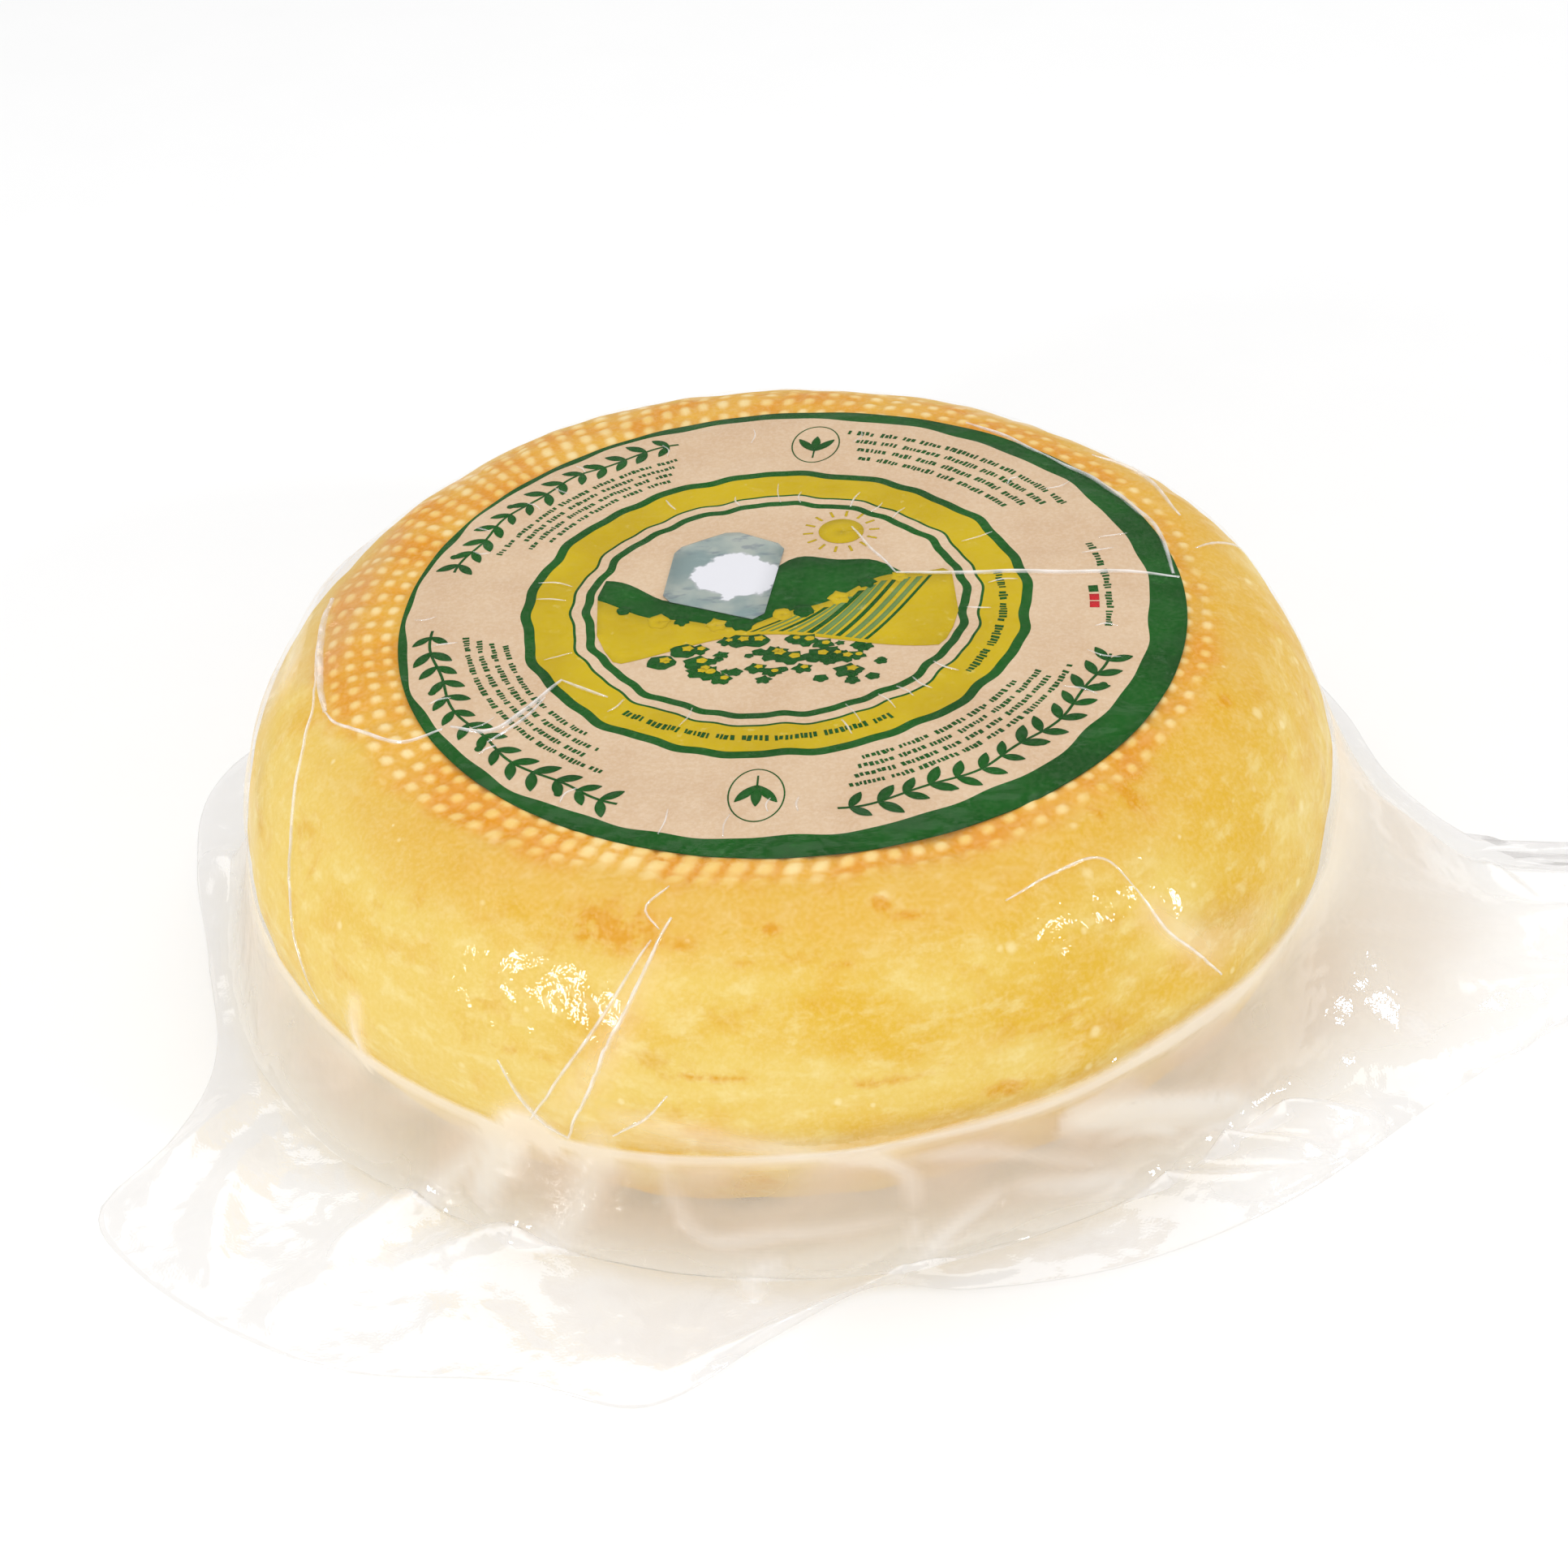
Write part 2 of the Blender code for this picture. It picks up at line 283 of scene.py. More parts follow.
def place_in(tree, scale=(1, 1, 1)):
    """Object coordinates, stretched where a pattern is longer one way."""
    coords = add(tree, "TexCoord").node.outputs["Object"]
    return add(tree, "Mapping", {"Vector": coords, "Scale": scale})


def cloud(tree, where, scale, detail=3, roughness=0.55, kind="FBM"):
    """Cloudy noise about 0.5, finer with the scale."""
    inputs = {"Vector": where, "Scale": scale, "Detail": detail, "Roughness": roughness}
    return add(tree, "TexNoise", inputs, noise_type=kind)


def lobe(angle, at, width):
    """1 at an angle round the wheel, fading over a width, in degrees."""
    away = (np.degrees(angle) - at + 180) % 360 - 180
    return np.exp(-(away / width) ** 2)


def weave_relief(along, angle, points):
    """The depth of the weave's grooves, the share of the rim's colour, and the weave's crests."""
    down_rim = along - WEAVE_START
    row = down_rim / WEAVE_ROW
    reach = around(WEAVE_REACH, angle)
    fade = ease(row, -1, 0) * (1 - ease(down_rim, reach - WEAVE_ROW, reach))
    teeth, stripes, beads = (lobe(angle, *part) for part in (WEAVE_TEETH, WEAVE_STRIPES, WEAVE_BEADS))
    slant = row * (0.8 + 1.1 * teeth + 0.9 * stripes)
    across = 0.5 + 0.5 * np.cos(WEAVE_DOTS * angle + slant + WEAVE_STRAY * waves(points, 24 * MM, 11))
    down = 0.5 + 0.5 * np.cos(FULL_TURN * row + WEAVE_STRAY * waves(points, 20 * MM, 12))
    crest = (across ** (0.6 - 0.3 * teeth + 0.1 * beads)
             * down ** np.clip(0.6 - 0.5 * teeth - 0.4 * stripes, 0.08, 2))
    patchy = 0.6 + 0.4 * np.clip(waves(points, 12 * MM, 13), -1, 1)
    rim_end = 1 - ease(down_rim, reach - 2.2 * WEAVE_ROW, reach + 2 * MM)
    rim = ease(along, -4 * MM, 0) * rim_end
    return WEAVE_DEPTH * fade * patchy * (1 - crest), rim, crest * fade


# Orange marks on the rind, where the brine dried: degrees round, height, length and width in mm, strength
MARKS = (
    (-110, 58.6, 17, 4.6, 1), (-103, 57.8, 8, 2.2, 0.5), (-93.1, 59.1, 3.2, 1.3, 1),
    (-90.5, 56.5, 9, 1.6, 0.55), (-81.1, 60.6, 3.6, 1.8, 0.9), (-78.4, 59.4, 8, 0.9, 0.8),
    (-88.7, 58.8, 0.8, 3.6, 0.7), (-86, 55.4, 5, 0.8, 0.6), (-96, 55.6, 10, 1.2, 0.45),
    (-47, 60.6, 4.2, 4.6, 1), (-52.2, 61.4, 2.6, 1.3, 0.9), (-25, 61, 5, 1.6, 0.6),
    (-99, 41, 16, 1.4, 0.6), (-84, 39, 18, 2.4, 0.5), (-66, 41, 15, 2, 0.45),
    (-72, 33, 9, 4, 0.6), (-118, 40, 20, 1.8, 0.4), (-133, 55, 3, 8, 0.4),
    (-150, 47, 2.4, 12, 0.35), (176, 49, 2.4, 12, 0.35), (-40, 44, 12, 2, 0.35),
    (20, 50, 12, 4, 0.5), (58, 42, 16, 3, 0.5), (96, 50, 14, 2.5, 0.5),
    (128, 38, 18, 2, 0.4), (150, 52, 4, 8, 0.4),
)
# A degree's length round the rind where the marks are
DEGREE_ROUND = 1.57 * MM


def stain(angle, z):
    """How stained the rind is at places on it."""
    total = np.zeros(len(angle))
    for degrees, height, length, width, strength in MARKS:
        away = ((np.degrees(angle) - degrees + 180) % 360 - 180) * DEGREE_ROUND
        far = (away / (0.5 * length * MM)) ** 2 + ((z - height * MM) / (0.5 * width * MM)) ** 2
        total = np.maximum(total, strength * np.exp(-far))
    return total


# Rows down the side: fine ones as far as the weave reaches, then wider ones to the foot
FINE_ROW = 0.7 * MM
FINE_END = 22 * MM
PLAIN_ROWS = 62


def cheese():
    """The wheel, fine enough for its weave, with the numbers that colour its rind."""
    fine = np.arange(FINE_ROW, FINE_END, FINE_ROW)
    plain = np.linspace(FINE_END, SIDE_END, PLAIN_ROWS)
    top_share = np.array([0, 0.3, 0.6, 0.85, 1])
    under_share = np.array([0.66, 0.33, 0])
    along_rows = np.concatenate([np.zeros(5), fine, plain, np.full(3, SIDE_END)])
    share_rows = np.concatenate([top_share, np.ones(len(fine) + len(plain)), under_share])
    numbers = {}

    def place(rows, angles):
        along, share = along_rows[rows], share_rows[rows]
        points = rind_point(angles, along, 0)
        out, up = side_normal(along)
        depth, rim, crest = weave_relief(along, angles, points)
        on_side = (share == 1) & (along > 0)
        bumps = UNEVEN_SHORT * waves(points, 9 * MM, 7, 20) * ease(along, 1 * MM, 6 * MM)
        bumps *= 1 - ease(along, SIDE_END - 12 * MM, SIDE_END - 2 * MM)
        moved = np.where(on_side, bumps - depth, 0)
        points = points + xyz(moved * out, angles, moved * up)
        points[:, :2] *= share[:, None]
        points[:, 2] = np.maximum(points[:, 2], FOOT_Z)
        numbers["rim"] = np.where(share < 1, 1 * (along < MM), rim)
        numbers["crest"] = crest
        numbers["stain"] = stain(angles, points[:, 2])
        z = points[:, 2]
        numbers["shoulder"] = ease(z, 52 * MM, 61 * MM) * (1.05 - 0.8 * lobe(angles, -175, 32))
        # Painted light: the side is made paler towards the left, where more light fell, and more golden
        # towards the right.
        warm = 0.25 * lobe(angles, -15, 75) * ease(z, 24 * MM, 52 * MM)
        numbers["warmth_and_painted_light"] = np.clip(warm - 0.5 * lobe(angles, -160, 45), -0.5, 1)
        return points

    mesh, _, _ = turned(len(along_rows), WHEEL_STEPS, place)
    return mesh, numbers


def rind_material():
    """Soft golden rind: cloudy and pale in patches, speckled, orange in the rim's grooves and in marks, and
    made paler towards the left as painted light.
    """
    material, tree = fresh_material("rind")
    plain = place_in(tree)
    drawn = place_in(tree, (1, 1, 2.2))
    gold, straw, pale = tone(223, 179, 55), tone(229, 198, 102), tone(236, 215, 144)
    # Painted light: this number turns the side paler towards the left and more golden towards the right.
    warmth_and_painted_light = own(tree, "warmth_and_painted_light")
    mottle = cloud(tree, drawn, 40, 3, 0.55)
    broad = scaled(tree, warmth_and_painted_light, -0.30, mottle)
    side = blended(tree, between(tree, broad, 0.30, 0.62), gold, straw)
    fine = between(tree, cloud(tree, drawn, 170, 4, 0.62), 0.48, 0.72, 0, 0.6)
    side = blended(tree, fine, side, pale)
    deep = between(tree, cloud(tree, place_in(tree, (1, 1, 1.7)), 88, 4, 0.6), 0.55, 0.74, 0, 0.55)
    side = blended(tree, deep, side, tone(217, 162, 33))
    shoulder = own(tree, "shoulder")
    side = blended(tree, product(tree, shoulder, broad), side, tone(216, 158, 26))
    specks = add(tree, "TexVoronoi", {"Vector": plain, "Scale": 150, "Randomness": 1})
    size = add(tree, "SeparateColor", [specks.node.outputs["Color"]])
    near = add(tree, "Math", [specks.node.outputs["Distance"], size], operation="DIVIDE")
    speck = between(tree, near, 0.08, 0.24, 0.5, 0)
    side = blended(tree, speck, side, tone(245, 230, 176))
    stained = own(tree, "stain")
    ragged = product(tree, stained, between(tree, cloud(tree, plain, 330, 3, 0.65), 0.2, 0.7))
    side = blended(tree, between(tree, ragged, 0.05, 0.6), side, tone(216, 152, 4))
    crest = own(tree, "crest")
    rim_share = own(tree, "rim")
    patches = between(tree, cloud(tree, plain, 75, 2, 0.6), 0.35, 0.65)
    groove = blended(tree, patches, tone(220, 146, 22), tone(224, 170, 60))
    raised = blended(tree, patches, tone(236, 196, 108), tone(242, 216, 154))
    rim = blended(tree, between(tree, crest, 0.3, 1), groove, raised)
    wander = product(tree, cloud(tree, plain, 110, 2, 0.6), 1.1)
    lifted = add(tree, "Math", [rim_share, wander], operation="ADD")
    colour = blended(tree, between(tree, lifted, 0.55, 1.45), side, rim)
    grain = cloud(tree, plain, 1100, 2, 0.65)
    colour = blended(tree, between(tree, grain, 0.35, 0.75, 0, 0.12), colour, tone(250, 240, 200))
    height = product(tree, grain, 0.5)
    bump = add(tree, "Bump", {"Strength": 0.5, "Distance": 0.1 * MM, "Height": height})
    shader = add(tree, "BsdfPrincipled", {"Base Color": colour, "Normal": bump, "Roughness": 0.6,
                                          "Specular IOR Level": 0.08})
    shown(tree, shader)
    return material


mesh, numbers = cheese()
wheel = settled("cheese", mesh, [rind_material()], numbers)
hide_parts("cheese_wheel")

# The label: a round of thin uncoated paper, printed with a green rim and rings, cut off centre.
# It lies on the flat top, follows the shoulder a little at its edge, and the vacuum has wrinkled it.
LABEL_RADIUS = 70 * MM
LABEL_CENTRE = (2.5 * MM, -0.9 * MM)
PAPER_TOP_Z = 64 * MM
PAPER_THICK = 0.25 * MM
PAPER_DROOP = 0.70 * MM
LABEL_STEPS = 480
LABEL_CELL = 2.4 * MM
LABEL_EDGE_ROWS_MM = (67.5, 68.8, 70)
LABEL_RIM = 66.9 * MM
WRINKLE_HEIGHT = 0.05 * MM
PLEAT_HEIGHT = 0.045 * MM
PLEATS = 34
# The print's rings, from its centre out: inks between radii in millimetres
PRINT_RINGS_MM = ((33, 34.6, "green"), (36.4, 36.9, "green"), (36.9, 43.7, "yellow"), (43.7, 45.6, "green"),
                  (66.3, 90, "green"))


def paper_z(x, y):
    """The height of the paper's printed face."""
    x, y = np.asarray(x, float), np.asarray(y, float)
    radius = np.hypot(x, y)
    angle = np.arctan2(y, x)
    droop = PAPER_DROOP * ease(radius, 62 * MM, 71.5 * MM)
    points = np.stack([x.ravel(), y.ravel(), 0 * x.ravel()], axis=1)
    creased = 1 - np.abs(waves(points, 30 * MM, 21, 9)).reshape(x.shape)
    pleats = np.cos(PLEATS * angle + 1.3 * np.sin(3 * angle)) * ease(radius, 22 * MM, 60 * MM)
    return PAPER_TOP_Z - droop + WRINKLE_HEIGHT * creased + PLEAT_HEIGHT * pleats


def print_wobble(angle):
    """How far the print strays from true circles on the wrinkled paper."""
    return (0.30 * np.sin(13 * angle + 0.6) + 0.22 * np.sin(22 * angle + 2)
            + 0.12 * np.sin(37 * angle)) * MM


def label():
    """The paper disc, its rows set on the print's rings, and each face given its ink."""
    edges = sorted({radius for ring in PRINT_RINGS_MM for radius in ring[:2] if radius < 80})
    stops = [0, *edges, LABEL_EDGE_ROWS_MM[0]]
    radii = [0]
    for start, end in zip(stops, stops[1:]):
        cells = max(1, round((end - start) * MM / LABEL_CELL))
        radii += list(np.linspace(start, end, cells + 1)[1:])
    radii = np.array([*radii, *LABEL_EDGE_ROWS_MM[1:]]) * MM
    outer = LABEL_EDGE_ROWS_MM[0] * MM
    centre_x, centre_y = LABEL_CENTRE

    def place(rows, angles):
        radius = radii[rows]
        ahead = centre_x * np.cos(angles) + centre_y * np.sin(angles)
        cut = ahead + np.sqrt(LABEL_RADIUS ** 2 - centre_x ** 2 - centre_y ** 2 + ahead ** 2)
        share = np.clip((radius - outer) / (radii[-1] - outer), 0, 1)
        inner_edge = np.minimum(LABEL_RIM, cut - 0.35 * MM)
        held = np.where(radius > 60 * MM, np.minimum(radius, inner_edge), radius)
        held = held + print_wobble(angles) * ease(held, 8 * MM, 30 * MM) * (1 - share)
        rim = inner_edge + (cut - inner_edge) * share
        radius = np.where(share > 0, rim, np.minimum(held, cut - 0.3 * MM))
        return xyz(radius, angles, paper_z(radius * np.cos(angles), radius * np.sin(angles)))

    mesh, rows, _ = turned(len(radii), LABEL_STEPS, place, closed_end=False)
    radius_of = dict(zip(mesh.verts, radii[rows]))
    for face in mesh.faces:
        spread = [radius_of[vert] for vert in face.verts]
        middle = 0.5 * (min(spread) + max(spread))
        for start, end, ink in PRINT_RINGS_MM:
            if start * MM <= middle < end * MM:
                face.material_index = {"green": 1, "yellow": 2}[ink]
    return mesh


def thicken(piece, thickness, offset):
    """Gives a sheet its thickness, below its face at -1 and above it at 1."""
    wall = piece.modifiers.new("thickness", "SOLIDIFY")
    wall.thickness = thickness
    wall.offset = offset


def paper_material(name, colour, darker, worn=None):
    """Uncoated paper, bare or inked: faint cloudy unevenness, fibre grain, and worn flecks where inked."""
    material, tree = fresh_material(name)
    where = place_in(tree)
    clouds = between(tree, cloud(tree, where, 70, 3, 0.6), 0.3, 0.7)
    base = blended(tree, clouds, colour, darker)
    fibre = cloud(tree, where, 1400, 1, 0.7)
    pale_fibre = between(tree, fibre, 0.3, 0.8, 0, 0.14 if worn is None else 0.02)
    base = blended(tree, pale_fibre, base, tone(255, 244, 228))
    if worn is not None:
        flecks = between(tree, cloud(tree, where, 420, 4, 0.72), 0.60, 0.72)
        base = blended(tree, product(tree, flecks, 0.5), base, worn)
    bump = add(tree, "Bump", {"Strength": 0.3, "Distance": 0.05 * MM, "Height": fibre})
    shader = add(tree, "BsdfPrincipled", {"Base Color": base, "Normal": bump, "Roughness": 0.7,
                                          "Specular IOR Level": 0.06})
    shown(tree, shader)
    return material


paper = paper_material("paper", tone(214, 186, 154), tone(207, 176, 143))
green_ink = paper_material("green_ink", tone(0, 86, 6), tone(0, 70, 4), worn=tone(60, 124, 56))
yellow_ink = paper_material("yellow_ink", tone(200, 172, 8), tone(190, 160, 4), worn=tone(214, 196, 110))
disc = settled("label_paper", label(), [paper, green_ink, yellow_ink])
thicken(disc, PAPER_THICK, -1)
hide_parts("round_label")

# The rest of the print: leaf sprigs, ovals, broken lines and a landscape of hills, in green and yellow.
# Each ink is one piece, of thin patches that lie just above the paper and follow its wrinkles.
INK_LIFT = 0.05 * MM
INK_LAYER = 0.03 * MM
INK_THICK = 0.02 * MM
PICTURE_R = 32.6 * MM
PICTURE_WIDE = 64 * MM
inks = {name: bmesh.new() for name in ("yellow_print", "green_print", "sage_print", "red_print")}
ink_rng = np.random.default_rng(8)


def patch(ink, columns, rows, place, layer=0):
    """A patch of ink: a grid whose corners go where place(u, v) says, in metres on the label."""
    made = bmesh.ops.create_grid(inks[ink], x_segments=columns, y_segments=rows, size=0.5)
    lift = INK_LIFT + layer * INK_LAYER
    for vert in made["verts"]:
        vert.co = (*place(vert.co.x + 0.5, vert.co.y + 0.5), lift)


def polar(radius_mm, degrees):
    """A place on the label, from millimetres out and degrees round."""
    turn = math.radians(degrees)
    return radius_mm * MM * cos(turn), radius_mm * MM * sin(turn)


def broken_line(radius_mm, start, end, height_mm, seed):
    """A printed line of small strokes in words of uneven length, along an arc."""
    rng = np.random.default_rng(seed)
    at = start
    while at < end:
        word_end = at + math.degrees(rng.uniform(2.4, 7.5) / radius_mm)
        while at < min(word_end, end):
            stroke = math.degrees(rng.uniform(0.35, 0.75) / radius_mm)
            low = radius_mm - 0.5 * height_mm * rng.uniform(0.55, 1)
            high = radius_mm + 0.5 * height_mm * rng.uniform(0.55, 1.15)
            lean = rng.uniform(-0.25, 0.25) * stroke
            patch("green_print", 1, 1,
                  lambda u, v: polar(low + (high - low) * v, at + stroke * u + lean * v))
            at += stroke + math.degrees(rng.uniform(0.22, 0.4) / radius_mm)
        at += math.degrees(rng.uniform(0.7, 1.2) / radius_mm)


def leaf(radius_mm, degrees, length_mm, width_mm, heading):
    """A pointed green leaf from a place on the label, heading in degrees from the way round."""
    x, y = polar(radius_mm, degrees)
    turn = math.radians(degrees + 90 + heading)
    ahead, aside = (cos(turn), sin(turn)), (-sin(turn), cos(turn))

    def place(u, v):
        forth = length_mm * MM * u
        half = width_mm * MM * (v - 0.5) * sin(pi * min(1, u * 0.97 + 0.015)) ** 0.8
        return x + ahead[0] * forth + aside[0] * half, y + ahead[1] * forth + aside[1] * half

    patch("green_print", 7, 2, place)


def sprig(radius_mm, start, end, step):
    """A garland along an arc: a thin stem with pairs of leaves, and a berry now and then."""
    patch("green_print", 60, 1, lambda u, v: polar(radius_mm + 0.5 * (v - 0.5) + 0.5 * sin(u * 21),
                                                   start + (end - start) * u))
    at, index = start + 0.4 * step, 0
    while at < end - 0.3 * step:
        middle = radius_mm + 0.5 * sin((at - start) / (end - start) * 21)
        size = ink_rng.uniform(0.85, 1.1)
        for side in (-1, 1):
            leaf(middle, at, 4.6 * size, 1.9 * size, side * ink_rng.uniform(38, 56))
        if index % 4 == 3:
            disc_patch("green_print", polar(middle + 2.6, at + 0.55 * step), 0.75, 8)
        at += step
        index += 1


def disc_patch(ink, centre, radius_mm, sides, layer=0, squash=1, rough=0, seed=0):
    """A round spot of ink, smooth or rough edged."""
    phase = seed * 1.7

    def place(u, v):
        turn = FULL_TURN * u
        edge = 1 + rough * (sin(5 * turn + phase) + 0.6 * sin(9 * turn + 2 * phase))
        reach = radius_mm * MM * (0.02 + 0.98 * v) * edge
        return centre[0] + reach * cos(turn), centre[1] + reach * sin(turn) * squash

    patch(ink, sides, 2, place, layer)


OVAL_MM = (9.4, 14)
OVAL_LINE_MM = 0.5


def oval_mark(x_mm, y_mm):
    """A thin oval outline with a small three-leaved sprig in it."""
    x, y = x_mm * MM, y_mm * MM
    out = math.atan2(y, x)
    wide, tall = OVAL_MM

    def ring(u, v):
        turn = FULL_TURN * u
        along = 0.5 * (wide - OVAL_LINE_MM * v) * MM * cos(turn)
        away = 0.5 * (tall - OVAL_LINE_MM * v) * MM * sin(turn)
        return (x - along * sin(out) + away * cos(out),
                y + along * cos(out) + away * sin(out))

    patch("green_print", 48, 1, ring)
    radius, degrees = hypot(x_mm, y_mm), math.degrees(out)
    for heading in (-52, -90, -128):
        leaf(radius - 2.6, degrees, 5.6, 1.8, heading)
    patch("green_print", 1, 3, lambda u, v: polar(radius - 5.2 + 2.8 * v, degrees + 0.35 * (u - 0.5)))


# Garlands: millimetres out, and degrees round from one end to the other
for radius, start, end in ((60.9, 106, 163), (61.4, -179, -117), (60.6, -83, -22)):
    sprig(radius, start, end, 4.4)
# Small broken lines under each garland, and longer ones at the upper right
for number, (start, end) in enumerate(((108, 156), (-176, -124), (-80, -27))):
    for line in range(4):
        line_end = end - 2 * line - 3 * (line % 2)
        broken_line(55.4 - 2.25 * line, start + 1.5 * line, line_end, 1.15, 30 + 5 * number + line)
for line in range(4):
    broken_line(61 - 3.1 * line, 26 + 2 * line, 74 - 1.5 * line, 1.5, 60 + line)
broken_line(59, -14, 12, 1.4, 70)
broken_line(40.2, -132, -64, 1.6, 71)
broken_line(40.4, -38, 8, 1.6, 72)
oval_mark(10, 55)
oval_mark(-5.5, -55.3)
for number, (degrees, ink) in enumerate(((-3.5, "green_print"), (-6.2, "red_print"), (-8.6, "red_print"))):
    patch(ink, 1, 1, lambda u, v: polar(55.6 + 1.7 * v, degrees + 2 * u))


def band(ink, low, high):
    """A field of ink in the picture between two lines of the landscape, kept inside the picture's round."""
    def place(u, v):
        x = PICTURE_WIDE * (u - 0.5)
        limit = math.sqrt(max(PICTURE_R ** 2 - x * x, 0))
        bottom, top = low(x / MM) * MM, high(x / MM) * MM
        y = bottom + (max(top, bottom) - bottom) * v
        return x, max(-limit, min(limit, y))

    patch(ink, 44, 4, place)


def far_hills(x):
    """The skyline."""
    return 9 + 5.5 * sin(0.13 * x + 0.4) + 1.2 * sin(0.41 * x)


def near_hill(x):
    """The crest of the nearer hill."""
    return 1 + 7 * sin(0.085 * x - 0.9) + 0.8 * sin(0.37 * x + 1)


def valley(x):
    """The lower edge of the fields."""
    return -13 + 3.5 * sin(0.1 * x + 2)


band("green_print", near_hill, far_hills)
band("yellow_print", valley, near_hill)
# Furrows over the right of the yellow fields, uneven in width
for number in range(13):
    start = 2 + 2.15 * number
    width = ink_rng.uniform(0.6, 1.25)
    tilt = 7 + 0.5 * number
    ink = "sage_print" if number % 3 else "green_print"

    def furrow(u, v, start=start, width=width, tilt=tilt):
        x = start + width * u - tilt * (1 - v)
        bottom, top = valley(x) + 1, near_hill(start) - 1.5
        y = bottom + (top - bottom) * v
        limit = PICTURE_R / MM - 0.6
        shrink = min(1, limit / max(hypot(x, y), 0.1))
        return x * shrink * MM, y * shrink * MM

    patch(ink, 1, 10, furrow, 1)
# Bushes and trees along the bottom, by a seeded draw that is denser at the left
for number in range(90):
    x = ink_rng.uniform(-29, 26)
    y = valley(x) - 13 * ink_rng.uniform() ** 1.4 - 0.8
    size = ink_rng.uniform(0.7, 2.6)
    if hypot(x, y) < 30.6 - size and ink_rng.uniform() < (0.9 if x < 2 else 0.6):
        disc_patch("green_print", (x * MM, y * MM), size, 14, 1, 0.8, 0.16, number)
        if size > 1.5:
            light_side = ((x + 0.3 * size) * MM, (y + 0.25 * size) * MM)
            disc_patch("yellow_print", light_side, 0.4 * size, 10, 2, 0.8, 0.2, number)
for number in range(11):
    x = -27 + 5.4 * number + ink_rng.uniform(-1, 1)
    y = near_hill(x) + ink_rng.uniform(-1.5, 1)
    if hypot(x, y) < 28:
        size = ink_rng.uniform(1.2, 2.2)
        ink = "yellow_print" if number % 2 else "green_print"
        disc_patch(ink, (x * MM, y * MM), size, 14, 2, 1.1, 0.14, number)
# A sun over the skyline, with short rays
SUN_MM = (13, 22.5)
SUN_RADIUS_MM = 4.2
SUN_RAYS = 14
sun_x, sun_y = SUN_MM[0] * MM, SUN_MM[1] * MM
disc_patch("yellow_print", (sun_x, sun_y), SUN_RADIUS_MM, 28, 1)
for number in range(SUN_RAYS):
    turn = FULL_TURN * number / SUN_RAYS

    def ray(u, v, turn=turn):
        reach = (SUN_RADIUS_MM + 1 + 1.9 * v) * MM
        side = 0.5 * (u - 0.5) * MM
        return (sun_x + reach * cos(turn) - side * sin(turn),
                sun_y + reach * sin(turn) + side * cos(turn))

    patch("yellow_print", 1, 1, ray)

sage_ink = paper_material("sage_ink", tone(112, 142, 78), tone(94, 126, 62), worn=tone(184, 180, 132))
red_ink = paper_material("red_ink", tone(200, 30, 38), tone(188, 24, 34), worn=tone(224, 150, 130))
for name, ink_material in zip(inks, (yellow_ink, green_ink, sage_ink, red_ink)):
    flat = np.array([vert.co for vert in inks[name].verts])
    for vert, height in zip(inks[name].verts, paper_z(flat[:, 0], flat[:, 1])):
        vert.co.z += height
    printed = settled(name, inks[name], [ink_material])
    thicken(printed, INK_THICK, 1)

# The sticker: a strip of translucent tape with clipped corners, stuck by hand on the label.
# Its middle is white and the rest greyish blue, with cloudy grey smudges.
STICKER_MM = ((-18, 18.6), (-16.6, 20.6), (-8.4, 24.4), (-5.8, 24.2), (1.2, 19.6), (2.2, 17.6), (-2.2, -3.2),
              (-4.4, -4.8), (-19, 2.6), (-20.2, 4.8))
STICKER_THICK = 0.12 * MM
STICKER_LIFT = 0.32 * MM
STICKER_INSET = 1.2 * MM
# The white middle: its centre, the radii between which it ends, and how ragged that edge is
WHITE_CENTRE = (-7.2 * MM, 9.8 * MM, 64.2 * MM)
WHITE_RADIUS = (11.8 * MM, 12.8 * MM)
WHITE_RAGGED = 10 * MM


def sticker():
    """The tape's outline, filled, divided and laid on the paper."""
    mesh = bmesh.new()
    outline = [mesh.verts.new((x * MM, y * MM, 0)) for x, y in reversed(STICKER_MM)]
    face = mesh.faces.new(outline)
    face.normal_update()
    bmesh.ops.inset_region(mesh, faces=[face], thickness=STICKER_INSET)
    bmesh.ops.triangulate(mesh, faces=mesh.faces[:])
    bmesh.ops.subdivide_edges(mesh, edges=mesh.edges[:], cuts=3, use_grid_fill=True)
    for vert in mesh.verts:
        vert.co.z = float(paper_z(vert.co.x, vert.co.y)) + STICKER_LIFT
    return mesh


def sticker_material():
    """Greyish blue tape with a cloudy white middle and grey smudges."""
    material, tree = fresh_material("sticker_tape")
    where = place_in(tree)
    middle = add(tree, "VectorMath", [where, WHITE_CENTRE], operation="DISTANCE").node.outputs["Value"]
    stray = product(tree, cloud(tree, where, 160, 4), WHITE_RAGGED)
    ragged = add(tree, "Math", [middle, stray], operation="ADD")
    white = between(tree, ragged, *WHITE_RADIUS, 1, 0)
    smudge = between(tree, cloud(tree, place_in(tree, (1, 2.5, 1)), 240, 3), 0.55, 0.68)
    clouds = between(tree, cloud(tree, where, 110, 3), 0.35, 0.65)
    base = blended(tree, clouds, tone(150, 172, 172), tone(196, 204, 196))
    base = blended(tree, product(tree, smudge, 0.5), base, tone(110, 124, 146))
    base = blended(tree, white, base, tone(226, 226, 232))
    shader = add(tree, "BsdfPrincipled", {"Base Color": base, "Roughness": 0.4})
    clear = add(tree, "BsdfTransparent", [(0.86, 0.9, 0.9, 1)])
    cover = add(tree, "Math", [white, 0.62], operation="MAXIMUM")
    both = add(tree, "MixShader", [cover, clear, shader])
    shown(tree, both)
    return material


tape = settled("sticker_tape", sticker(), [sticker_material()])
thicken(tape, STICKER_THICK, -1)
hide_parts("date_sticker")

